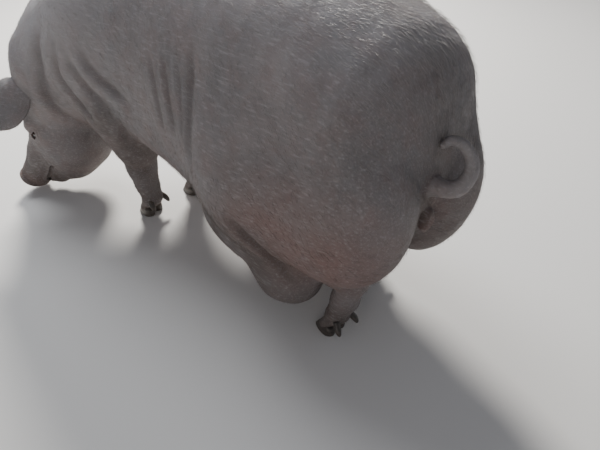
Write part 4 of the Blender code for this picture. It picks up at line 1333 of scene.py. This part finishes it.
def build_skin():
    low, high = bounds_of(SKIN_BOUNDS)
    values = without_pinches(sampled(sow, low, high, SKIN_CELL), SKIN_CELL)
    points, faces = net(values, low, SKIN_CELL)
    points, faces = largest_only(points, faces)
    faces = [tuple(face) for face in faces.tolist()]
    for zones in ((FINE_HEAD,), (FINEST_EYE, FINEST_SNOUT)):
        places = to_head(face_centres(points, faces))
        chosen = np.any([within(places, zone) > 0.0 for zone in zones], axis=0)
        points, faces = split_faces(points, faces, chosen)
    points = settled(points)
    skin = new_object("skin", points, faces)
    relief, _ = relief_of(points, normals_of(skin.data))
    points = points + normals_of(skin.data) * relief[:, None]
    skin.data.vertices.foreach_set("co", points.astype(np.float32).ravel())
    skin.data.update()
    for name, side in SIDES.items():
        part = build_ear("skin_ear_" + name, side)
        modifier = skin.modifiers.new("ear", "BOOLEAN")
        modifier.object = part
        modifier.operation = "UNION"
        modifier.solver = "MANIFOLD"
        settle(skin)
        bpy.data.objects.remove(part)
    return skin


def bounds_of(corners):
    """The world box round a box of the straight sow."""
    low, high = corners
    sides = (low, high)
    world = bend([(a[0], b[1], c[2]) for a in sides for b in sides for c in sides])
    return world.min(0), world.max(0)


def marks(points, normals):
    """Shares from 0 to 1 that colour skin and coat alike: painted crease shade, dirt with painted shade,
    pink, and paleness with painted light.
    """
    straight = straighten(points)
    x, y, z = straight.T
    local = to_head(points)
    under, over = np.clip(-normals[:, 2], 0.0, 1.0), np.clip(normals[:, 2], 0.0, 1.0)
    rear_side_share = 1.0 - REAR_SIDE_LESSENING * ramp(-y, *REAR_SIDE_LESSENS)
    parts = {
        # Darker towards the bottom and towards the lower rear
        "low": ramp(z, *DARKER_DOWN) ** DARKER_DOWN_POWER,
        "rear": ramp(z, *REAR_DARKER_DOWN) * ramp(x, *REAR_DARKER_BACK) * rear_side_share,
        # Painted shade on places that face down
        "under": under,
        "belly": under * (z < PINK_UNDER_TOP),
        # Painted shade on the face, partly dirt
        "face": ramp(local[:, 0], *FACE_RISE) * (x < FACE_AHEAD_OF),
        "snout": ramp(local[:, 0], *SNOUT_RISE) * (x < SNOUT_AHEAD_OF),
        # Painted light on the top of the back
        "back": ramp(z, *BACK_LIT_UP) * over,
        # Paler upper fore part, partly painted light
        "fore": ramp(x, *FORE_PALE_AND_LIT_AHEAD) * ramp(z, *FORE_PALE_AND_LIT_UP),
        # Painted highlight on the tail
        "tail": np.clip(1.0 - tail_flesh(straight) / TAIL_LIT_REACH, 0.0, 1.0) * (x > TAIL_LIT_BEHIND),
    }
    # Painted shade in the creases, deepest along their lines
    found = {"crease_shade": creases(straight, normals)[1]}
    for kind, most in (("dirt_and_shade", MOST_DIRT_AND_SHADE), ("pink", MOST_PINK), ("pale_and_lit", MOST_PALE_AND_LIT)):
        found[kind] = np.maximum.reduce([share * parts[name] for name, share in most.items()])
    places = {"one": straight, "both": np.column_stack((x, np.abs(y), z)), "head": local}
    # Zones add pink and the dark mark, the latter painted shade on the belly, arm and under the tail
    for kind, side, zone, gain, most in MARK_ZONES:
        share = np.minimum(most, gain * within(places[side], zone))
        found[kind] = np.maximum(found[kind], share)
    return found


def write_marks(obj, values, straight):
    mesh = obj.data
    for name, numbers in values.items():
        attribute = mesh.attributes.new(name, "FLOAT", "POINT")
        attribute.data.foreach_set("value", np.asarray(numbers, np.float32))
    attribute = mesh.attributes.new("rest", "FLOAT_VECTOR", "POINT")
    attribute.data.foreach_set("vector", np.asarray(straight, np.float32).ravel())


class Nodes:
    """Short calls for building a material's nodes."""

    def __init__(self, name):
        self.material = bpy.data.materials.new(name)
        self.material.use_nodes = True
        self.tree = self.material.node_tree
        self.shader = self.tree.nodes["Principled BSDF"]

    def add(self, kind, **settings):
        node = self.tree.nodes.new(kind)
        for key, value in settings.items():
            setattr(node, key, value)
        return node

    def link(self, output, socket):
        self.tree.links.new(output, socket)

    def shade(self, inputs):
        """Sets inputs of the shader, each to a value or from another node's output."""
        for name, value in inputs.items():
            if isinstance(value, bpy.types.NodeSocket):
                self.link(value, self.shader.inputs[name])
            else:
                self.shader.inputs[name].default_value = value
        return self.material

    def attribute(self, name):
        node = self.add("ShaderNodeAttribute", attribute_name=name)
        return node.outputs["Vector"] if name == "rest" else node.outputs["Fac"]

    def stretched(self, scale):
        node = self.add("ShaderNodeMapping")
        self.link(self.attribute("rest"), node.inputs["Vector"])
        node.inputs["Scale"].default_value = scale
        return node.outputs["Vector"]

    def noise(self, scale, detail=3.0, rough=0.55, stretch=(1.0, 1.0, 1.0)):
        node = self.add("ShaderNodeTexNoise")
        self.link(self.stretched(stretch), node.inputs["Vector"])
        node.inputs["Scale"].default_value = scale
        node.inputs["Detail"].default_value = detail
        node.inputs["Roughness"].default_value = rough
        return node.outputs["Fac"]

    def cells(self, scale, stretch=(1.0, 1.0, 1.0)):
        node = self.add("ShaderNodeTexVoronoi", feature="DISTANCE_TO_EDGE")
        self.link(self.stretched(stretch), node.inputs["Vector"])
        node.inputs["Scale"].default_value = scale
        return node.outputs["Distance"]

    def ramp(self, value, low, high, start=0.0, end=1.0):
        node = self.add("ShaderNodeMapRange")
        self.link(value, node.inputs["Value"])
        for key, number in (("From Min", low), ("From Max", high), ("To Min", start), ("To Max", end)):
            node.inputs[key].default_value = number
        return node.outputs["Result"]

    def pattern(self, noise, span):
        return self.ramp(self.noise(*noise), *span)

    def maths(self, operation, a, b):
        node = self.add("ShaderNodeMath", operation=operation)
        for index, value in enumerate((a, b)):
            if isinstance(value, float):
                node.inputs[index].default_value = value
            else:
                self.link(value, node.inputs[index])
        return node.outputs[0]

    def mix(self, share, a, b):
        node = self.add("ShaderNodeMix", data_type="RGBA")
        for socket, value in ((node.inputs[0], share), (node.inputs[6], a), (node.inputs[7], b)):
            if isinstance(value, float):
                socket.default_value = value
            elif isinstance(value, tuple):
                socket.default_value = (*value, 1.0)
            else:
                self.link(value, socket)
        return node.outputs[2]

    def bump(self, height, strength, distance, before=None):
        node = self.add("ShaderNodeBump")
        node.inputs["Strength"].default_value = strength
        node.inputs["Distance"].default_value = distance
        self.link(height, node.inputs["Height"])
        if before is not None:
            self.link(before, node.inputs["Normal"])
        return node.outputs["Normal"]


def marked_colour(nodes, clean, dusty, pinkish, dirt_and_shade_colour):
    """The colour that skin and coat share, from their marks and the same noise; its dark mark is dirt and
    painted shade.
    """
    colour = nodes.mix(nodes.pattern(*MOTTLE), clean, dusty)
    colour = nodes.mix(nodes.pattern(*BLOTCHES), colour, pinkish)
    pink = nodes.maths("MULTIPLY", nodes.attribute("pink"), nodes.pattern(*PINK_PATCHES))
    colour = nodes.mix(pink, colour, pinkish)
    patches = nodes.pattern(*DIRT_PATCHES)
    dirt_and_shade = nodes.maths("MULTIPLY", nodes.attribute("dirt_and_shade"), nodes.ramp(patches, 0.0, 1.0, DIRT_BETWEEN, 1.0))
    specks = nodes.maths("MULTIPLY", nodes.pattern(*DIRT_SPECKS), patches)
    return nodes.mix(nodes.maths("MAXIMUM", dirt_and_shade, specks), colour, dirt_and_shade_colour)


def skin_material():
    nodes = Nodes("skin")
    colour = marked_colour(nodes, SKIN_CLEAN, SKIN_DUSTY, SKIN_PINK, SKIN_DIRT_AND_SHADE)
    # Paleness, much of it painted light
    colour = nodes.mix(nodes.maths("MULTIPLY", nodes.attribute("pale_and_lit"), PALE_AND_LIT_SHARE), colour, SKIN_PALE_AND_LIT)
    colour = nodes.mix(nodes.pattern(*SKIN_STREAKS), colour, SKIN_PALE_AND_LIT)
    # Painted shade darkens the creases
    colour = nodes.mix(nodes.maths("MULTIPLY", nodes.attribute("crease_shade"), CREASE_SHADE_SHARE), colour, SKIN_CREASE_SHADE)
    lines, relief = HAIR_LINES
    normal = nodes.bump(nodes.noise(*lines), *relief)
    cells, span, relief = SKIN_CELLS
    normal = nodes.bump(nodes.ramp(nodes.cells(*cells), *span), *relief, normal)
    pores, relief = SKIN_PORES
    normal = nodes.bump(nodes.noise(*pores), *relief, normal)
    return nodes.shade({
        "Base Color": colour, "Roughness": nodes.pattern(*SKIN_ROUGH), "Normal": normal,
        "Specular IOR Level": 0.35, "Subsurface Weight": SKIN_GLOW, "Subsurface Radius": SKIN_GLOW_REACH,
        "Subsurface Scale": 1.0,
    })


def coat_material():
    nodes = Nodes("coat")
    colour = marked_colour(nodes, COAT_CLEAN, COAT_DUSTY, COAT_PINK, COAT_DIRT_AND_SHADE)
    return nodes.shade({"Base Color": colour, "Roughness": 0.42, "Specular IOR Level": 0.45})


def horn_material():
    nodes = Nodes("horn")
    rings = nodes.noise(*HORN_GROWTH)
    colour = nodes.mix(nodes.ramp(rings, *HORN_SHADES), HORN_DARK, HORN_BROWN)
    dust = nodes.pattern(*HORN_DUSTY)
    colour = nodes.mix(dust, colour, HORN_DUST)
    rough = nodes.ramp(dust, *HORN_ROUGH)
    pits, relief = HORN_PITS
    normal = nodes.bump(nodes.noise(*pits), *relief, nodes.bump(rings, *HORN_RINGS))
    return nodes.shade({"Base Color": colour, "Roughness": rough, "Normal": normal})


def eye_material():
    nodes = Nodes("eye")
    ring = nodes.attribute("ring")
    iris = nodes.mix(nodes.pattern(*IRIS_FLECKS), EYE_BROWN, EYE_AMBER)
    colour = nodes.mix(nodes.ramp(ring, *PUPIL_END), EYE_PUPIL, iris)
    colour = nodes.mix(nodes.ramp(ring, *IRIS_END), colour, EYE_WHITE)
    return nodes.shade({"Base Color": colour, "Roughness": 0.08, "Coat Weight": 1.0, "Coat Roughness": 0.02})


def build_eyes(material):
    """Eyeballs with a bulging cornea, looking out and a little forward."""
    for name, side in (("eye_left", 1), ("eye_right", -1)):
        forward, up, left = EYE_AT
        centre = bend(from_head([(forward, up, left * side)]))[0]
        ahead, above, out = EYE_GAZE
        gaze = unit(bend(from_head([(forward + ahead, up + above, (left + out) * side)]))[0] - centre)
        work = bmesh.new()
        bmesh.ops.create_uvsphere(work, u_segments=EYEBALL_SEGMENTS, v_segments=EYEBALL_RINGS, radius=1.0)
        turn = Vector(gaze).to_track_quat("Z", "Y")
        places = np.array([vert.co[:] for vert in work.verts])
        ring = np.hypot(places[:, 0] / PUPIL_LONG, places[:, 1]) / IRIS_SHARE
        ring = np.where(places[:, 2] > 0.0, ring, 2.0)
        bulge = 1.0 - CORNEA_BULGE * np.clip(ring - CORNEA_EDGE, 0.0, 0.5)
        for vert, scale in zip(work.verts, bulge):
            vert.co = turn @ (vert.co * EYE_RADIUS * EYE_INSET * scale) + Vector(centre)
        mesh = bpy.data.meshes.new(name)
        work.to_mesh(mesh)
        work.free()
        eye = bpy.data.objects.new("eyeball" + name[3:], mesh)
        bpy.context.scene.collection.objects.link(eye)
        smooth_shaded(eye)
        write_marks(eye, {"ring": ring}, straighten(points_of(mesh)))
        mesh.materials.append(material)
        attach(eye, "root")
        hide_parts(name)


def build_claw(name, foot, step, material):
    """One claw: a flat sole, a wall with growth rings that leans back, and a soft top edge."""
    x, y = FOOT[foot]
    sides, rows = CLAW_SIDES, CLAW_ROWS
    depth, number, end = CLAW_RINGS
    points = []
    for k in range(rows + 1):
        level = k / rows
        scale = np.interp(level, CLAW_LEVELS, CLAW_SIZES)
        scale *= 1.0 - depth * math.sin(level * number) * (level < end)
        for j in range(sides):
            forward, side = claw_outline(j / sides)
            toe_share = 0.5 + forward / CLAW_LENGTH
            height = (CLAW_HEEL + (CLAW_HEIGHT - CLAW_HEEL) * toe_share) * level
            back = CLAW_LEAN * level * (0.5 + 0.5 * toe_share)
            points.append((x - CLAW_AHEAD - forward * scale + back, y + step + side * scale, height))
    horn_piece(name, points, sides, material)


def build_dewclaw(name, foot, side, material):
    x, y = FOOT[foot]
    back, out, height = DEWCLAW_AT
    joints = [
        (x + back + ahead, y + side * (out + aside), height + rise, DEWCLAW_RADIUS * size)
        for ahead, aside, rise, size in DEWCLAW_JOINTS
    ]
    rings = smooth_joints(joints, DEWCLAW_STEPS)
    ways = np.gradient(rings[:, :3], axis=0)
    ways /= np.linalg.norm(ways, axis=1)[:, None]
    normal = unit(np.cross(ways[0], (0.0, 0.0, 1.0)))
    points = []
    depth, number = DEWCLAW_RINGS
    round_from = len(rings) - 1 - DEWCLAW_TIP
    for index, (ring, way) in enumerate(zip(rings, ways)):
        normal = unit(normal - way * normal.dot(way))
        other = np.cross(way, normal)
        radius = ring[3] * DEWCLAW_INSET * (1.0 - depth * math.sin(index * number))
        past = max(0.0, (index - round_from) / (DEWCLAW_TIP * DEWCLAW_TIP_CURVE))
        radius *= math.sqrt(max(1.0 - past**2, DEWCLAW_TIP_LEAST))
        for k in range(DEWCLAW_SIDES):
            angle = 2.0 * math.pi * k / DEWCLAW_SIDES
            points.append(ring[:3] + radius * (math.cos(angle) * normal + math.sin(angle) * other))
    horn_piece(name, points, DEWCLAW_SIDES, material)


def horn_piece(name, points, sides, material):
    """A closed piece from rings of points, the first and the last one filled."""
    last = len(points) // sides - 1
    faces = [tuple(range(sides)), tuple(reversed(range(last * sides, (last + 1) * sides)))]
    for ring in range(last):
        for k in range(sides):
            a, b = ring * sides + k, ring * sides + (k + 1) % sides
            faces.append((a, b, b + sides, a + sides))
    piece = new_object("horn_" + name, bend(points), faces)
    face_out(piece)
    smooth_shaded(piece)
    write_marks(piece, {}, straighten(points_of(piece.data)))
    piece.data.materials.append(material)
    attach(piece, "root")
    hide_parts(name)


def build_hooves(material):
    for foot in FOOT:
        side = side_of(foot)
        for place, step in (("outer", -TOE_STEP), ("inner", TOE_STEP)):
            build_claw(f"claw_{foot}_{place}", foot, step * side, material)
        for place, way in (("outer", -1), ("inner", 1)):
            build_dewclaw(f"dewclaw_{foot}_{place}", foot, way * side, material)


def lie_of_coat(points, normals, on_ear):
    """Unit directions of the bristles along the skin: back and down, up the face, down the legs."""
    straight = straighten(points)
    x, _, z = straight.T
    down = -FLOW_DOWN * np.clip(np.abs(normals[:, 1]), 0.0, 1.0)
    flow = np.column_stack((np.ones(len(x)), np.zeros(len(x)), down))
    low = ramp(z, *FLOW_LEG_HEIGHTS)[:, None]
    flow = flow * (1.0 - low) + np.array(FLOW_LEG) * low
    ahead = ramp(x, *FLOW_HEAD_PLACES)[:, None]
    flow = flow * (1.0 - ahead) - np.array(HEAD_FRAME[0]) * ahead
    tail = ((x > TAIL[0][0] + FLOW_TAIL_FROM[0]) & (z > FLOW_TAIL_FROM[1]))[:, None]
    flow = np.where(tail, FLOW_TAIL, flow)
    flow = np.where(on_ear[:, None], np.array(EAR_END) @ HEAD_FRAME, flow)
    way = bend(straight + FLOW_STEP * flow) - points
    way -= normals * (way * normals).sum(1)[:, None]
    size = np.linalg.norm(way, axis=1)
    return way / np.maximum(size, TINY)[:, None]


def on_ridge(y, z, width, above):
    return np.exp(-((y / width) ** 2)) * (z > above)


def coat_density(straight, normals, on_ear):
    """Bristles per square metre."""
    _, y, z = straight.T
    dense = DENSITY["side"] + DENSITY["top"] * np.clip(normals[:, 2], 0.0, 1.0)
    dense += DENSITY["ridge"] * on_ridge(y, z, *RIDGE_DENSE)
    dense = np.where(z < LEG_COAT_TOP, DENSITY["leg"], dense)
    dense *= np.where((normals[:, 2] < UNDER_FACING) & (z > UNDER_END), UNDER_SHARE, 1.0)
    return np.where(on_ear, DENSITY["ear"], dense)


def coat_length(straight, on_ear, draw):
    x, y, z = straight.T
    length = LENGTH["side"] + LENGTH["top"] * ramp(z, *TOP_COAT_HEIGHTS)
    length += LENGTH["ridge"] * on_ridge(y, z, *RIDGE_LONG)
    tail_tip = where(straight, (x > TAIL_TIP[0]) & (z > TAIL_TIP[1]), tail_flesh) < TAIL_COAT_NEAR
    parts = {"face": x < FACE_COAT_AHEAD_OF, "leg": z < LEG_COAT_SHORT, "ear": on_ear, "tail": tail_tip}
    for name, there in parts.items():
        length = np.where(there, LENGTH[name], length)
    return length * draw.uniform(*BRISTLE_LENGTHS, len(x))


def turn_share(up, aside):
    """Share of a whole turn, 0 to 1, of the way from a middle line."""
    return np.arctan2(aside, up) / (2.0 * math.pi) + 0.5


def unwrapped(name, straight, on_ear):
    """A place on the unwrap for each root: round the body's own length, or round a leg's or the head's."""
    x, y, z = straight.T
    if name == "legs":
        u, v = np.zeros(len(x)), np.zeros(len(x))
        for index, (foot_x, foot_y) in enumerate(FOOT.values()):
            own = (np.abs(x - foot_x) < UV_LEG_REACH) & (np.sign(y + SMALL) == np.sign(foot_y))
            u[own] = (index % 2) * 0.5 + UV_EDGE + UV_HALF * turn_share(x[own] - foot_x, y[own] - foot_y)
            v[own] = (index // 2) * 0.5 + UV_EDGE + UV_HALF * ramp(z[own], 0.0, UV_LEG_TOP)
        return u, v
    if name == "head":
        local = in_head(straight)
        band = np.where(on_ear, 0.5, 0.0) + UV_EDGE
        around = turn_share(local[:, 1], local[:, 2])
        return UV_EDGE + UV_WIDE_HEAD * around, band + UV_HALF * ramp(local[:, 0], *UV_HEAD)
    low, high = x.min(), x.max()
    along = (x - low) / max(high - low, SMALL)
    around = turn_share(z - UV_AXIS, y)
    return UV_EDGE + UV_WIDE_BODY * around, UV_EDGE + UV_WIDE_BODY * along


def build_coat(skin, ear_places, material):
    """Bristles as closed tapered prisms, in one joined mesh for each region of the body."""
    draw = np.random.default_rng(COAT_SEED)
    mesh = skin.data
    mesh.calc_loop_triangles()
    corners = np.empty(len(mesh.loop_triangles) * 3, np.int32)
    mesh.loop_triangles.foreach_get("vertices", corners)
    corners = corners.reshape(-1, 3)
    points, normals = points_of(mesh), normals_of(mesh)
    a, b, c = (points[corners[:, k]] for k in range(3))
    area = 0.5 * np.linalg.norm(np.cross(b - a, c - a), axis=1)
    middle = (a + b + c) / 3.0
    facing = normals[corners].mean(1)
    ear_near = near_ears(middle, ear_places)
    count = area * coat_density(straighten(middle), facing, ear_near) * COAT_SHARE
    number = np.floor(count + draw.random(len(count))).astype(int)
    chosen = np.repeat(np.arange(len(count)), number)
    p, q = draw.random(len(chosen)), draw.random(len(chosen))
    over = p + q > 1.0
    p[over], q[over] = 1.0 - p[over], 1.0 - q[over]
    roots = a[chosen] + (b - a)[chosen] * p[:, None] + (c - a)[chosen] * q[:, None]
    weights = np.column_stack((1.0 - p - q, p, q))
    normal = (normals[corners[chosen]] * weights[..., None]).sum(1)
    normal /= np.linalg.norm(normal, axis=1)[:, None]
    on_ear = ear_near[chosen]
    keep = away_from_bare(roots)
    roots, normal, on_ear = roots[keep], normal[keep], on_ear[keep]
    straight = straighten(roots)
    flow = lie_of_coat(roots, normal, on_ear)
    length = coat_length(straight, on_ear, draw)
    shape = bristles(roots, normal, flow, length, draw)
    values = marks(roots, normal)
    left = np.ones(len(roots), bool)
    rules = {"legs": (straight[:, 2] < LEG_COAT_TOP) & near_feet(straight)}
    rules.update({name: straight[:, 0] > behind for name, behind in COAT_REGIONS.items()})
    for name, rule in rules.items():
        mask = left & rule
        left &= ~mask
        if mask.any():
            own = {key: value[mask] for key, value in values.items()}
            coat_piece(name, shape[mask], straight[mask], on_ear[mask], own, material)


def near_feet(straight):
    found = np.zeros(len(straight), bool)
    for foot in FOOT.values():
        found |= (np.abs(straight[:, :2] - np.array(foot)) < LEG_COAT_REACH).all(1)
    return found


def near_ears(places, ear_places):
    found = np.zeros(len(places), bool)
    near = np.where(straighten(places)[:, 0] < EARS_AHEAD_OF)[0]
    for index in near:
        _, _, _, distance = ear_places.find_nearest(Vector(places[index]))
        found[index] = distance < EAR_NEAR
    return found


def away_from_bare(roots):
    """Leaves eyes, nose disc, the parts under the tail and the hooves bare."""
    local = to_head(roots)
    bare = within(local, BARE_EYE) > 0.0
    disc_from, disc_half = BARE_DISC
    bare |= (local[:, 0] > disc_from) & (np.abs(local[:, 1:]) < disc_half).all(1)
    straight = straighten(roots)
    bare |= within(straight, BARE_REAR) > 0.0
    for foot in FOOT.values():
        bare |= (np.abs(straight - np.array((*foot, 0.0))) < BARE_HOOF).all(1)
    return ~bare


def bristles(roots, normal, flow, length, draw):
    """Seven points for each bristle: a root ring, a middle ring and the tip."""
    count = len(roots)
    lift = np.radians(draw.uniform(*BRISTLE_LIFT, count))[:, None]
    side = np.cross(flow, normal)
    stray = draw.normal(0.0, BRISTLE_STRAY, count)[:, None]
    flow = flow + side * stray
    flow /= np.linalg.norm(flow, axis=1)[:, None]
    side = np.cross(flow, normal)
    first = flow * np.cos(lift) + normal * np.sin(lift)
    bent = lift * BRISTLE_DROOP
    second = flow * np.cos(bent) + normal * np.sin(bent)
    size = length[:, None]
    start = roots - normal * BRISTLE_SUNK
    middle = roots + first * size * 0.5
    tip = middle + second * size * 0.5
    width = (BRISTLE_RADIUS * draw.uniform(*BRISTLE_WIDTHS, count))[:, None]
    rings = []
    for centre, radius in ((start, width), (middle, width * BRISTLE_TAPER)):
        for k in range(3):
            angle = 2.0 * math.pi * k / 3.0
            rings.append(centre + radius * (side * math.cos(angle) + normal * math.sin(angle)))
    return np.stack(rings + [tip], 1)


# Where a bristle's seven points lie in its patch, and its faces
BRISTLE_UV = ((0.0, 0.0), (0.5, 0.0), (1.0, 0.0), (0.0, 0.5), (0.5, 0.5), (1.0, 0.5), (0.5, 1.0))
BRISTLE_FACES = ((0, 1, 4, 3), (1, 2, 5, 4), (2, 0, 3, 5), (3, 4, 6), (4, 5, 6), (5, 3, 6), (2, 1, 0))


def coat_piece(name, shape, straight, on_ear, values, material):
    count = len(shape)
    corners = np.concatenate([np.array(face) for face in BRISTLE_FACES])
    sizes = np.tile([len(face) for face in BRISTLE_FACES], count)
    corners = (np.arange(count)[:, None] * len(BRISTLE_UV) + corners[None]).ravel()
    piece = filled("coat_" + name, shape.reshape(-1, 3), corners, sizes)
    mesh = piece.data
    u, v = unwrapped(name, straight, on_ear)
    places = np.column_stack((u, v))[:, None] + np.array(BRISTLE_UV) * TUFT_PATCH
    layer = mesh.uv_layers.new(name="OFBake")
    layer.data.foreach_set("uv", places.reshape(-1, 2)[corners].astype(np.float32).ravel())
    values = {key: np.repeat(value, len(BRISTLE_UV)) for key, value in values.items()}
    write_marks(piece, values, np.repeat(straight, len(BRISTLE_UV), 0))
    smooth_shaded(piece)
    mesh.materials.append(material)
    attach(piece, "root")


def build_stage():
    """A plain pale floor, soft lights and the photograph's camera."""
    corners = [(x * FLOOR_HALF, y * FLOOR_HALF, 0) for x, y in ((-1, -1), (1, -1), (1, 1), (-1, 1))]
    floor = new_object("floor", corners, [(0, 1, 2, 3)])
    floor.data.materials.append(Nodes("floor").shade({"Base Color": (*FLOOR_COLOUR, 1.0), "Roughness": 0.9}))
    world = bpy.data.worlds.new("studio")
    bpy.context.scene.world = world
    world.use_nodes = True
    sky = world.node_tree.nodes["Background"].inputs
    sky["Color"].default_value = (*SKY_COLOUR, 1.0)
    sky["Strength"].default_value = SKY_STRENGTH
    for name, (place, size, power, colour) in LAMPS.items():
        lamp = bpy.data.lights.new(name, "AREA")
        lamp.shape = "DISK"
        lamp.size = size
        lamp.energy = power
        lamp.color = colour
        holder = bpy.data.objects.new(name, lamp)
        aimed(holder, place, Vector(LAMP_AIM) - Vector(place))
    camera = bpy.data.cameras.new("camera")
    camera.sensor_width = SENSOR
    camera.lens = FOCAL_PIXELS * SENSOR / PHOTO_WIDTH
    camera.clip_start = CAMERA_NEAREST
    holder = bpy.data.objects.new("camera", camera)
    turn, down = math.radians(CAMERA_TURN), math.radians(CAMERA_DOWN)
    view = Vector((-math.sin(turn) * math.cos(down), math.cos(turn) * math.cos(down), -math.sin(down)))
    x, y = np.add(CAMERA_GROUND, CENTRE_SHIFT)
    aimed(holder, (x, y, CAMERA_HEIGHT), view)
    bpy.context.scene.camera = holder


def aimed(holder, place, way):
    """Puts a lamp or camera at its place, looking along a way."""
    holder.location = place
    holder.rotation_mode = "QUATERNION"
    holder.rotation_quaternion = way.to_track_quat("-Z", "Y")
    bpy.context.scene.collection.objects.link(holder)


def ear_tree():
    """The ears' own surfaces, to tell where the skin is an ear."""
    points, faces = [], []
    for name, side in SIDES.items():
        part = build_ear("guide_" + name, side)
        start = len(points)
        points += [Vector(point) for point in points_of(part.data)]
        faces += [tuple(start + i for i in polygon.vertices) for polygon in part.data.polygons]
        bpy.data.objects.remove(part)
    return BVHTree.FromPolygons(points, faces)


def main():
    skin = build_skin()
    smooth_shaded(skin)
    points, normals = points_of(skin.data), normals_of(skin.data)
    write_marks(skin, marks(points, normals), straighten(points))
    skin.data.materials.clear()
    skin.data.materials.append(skin_material())
    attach(skin, "root")
    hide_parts(*FLESH_NODES)
    build_coat(skin, ear_tree(), coat_material())
    build_eyes(eye_material())
    build_hooves(horn_material())
    build_stage()


main()
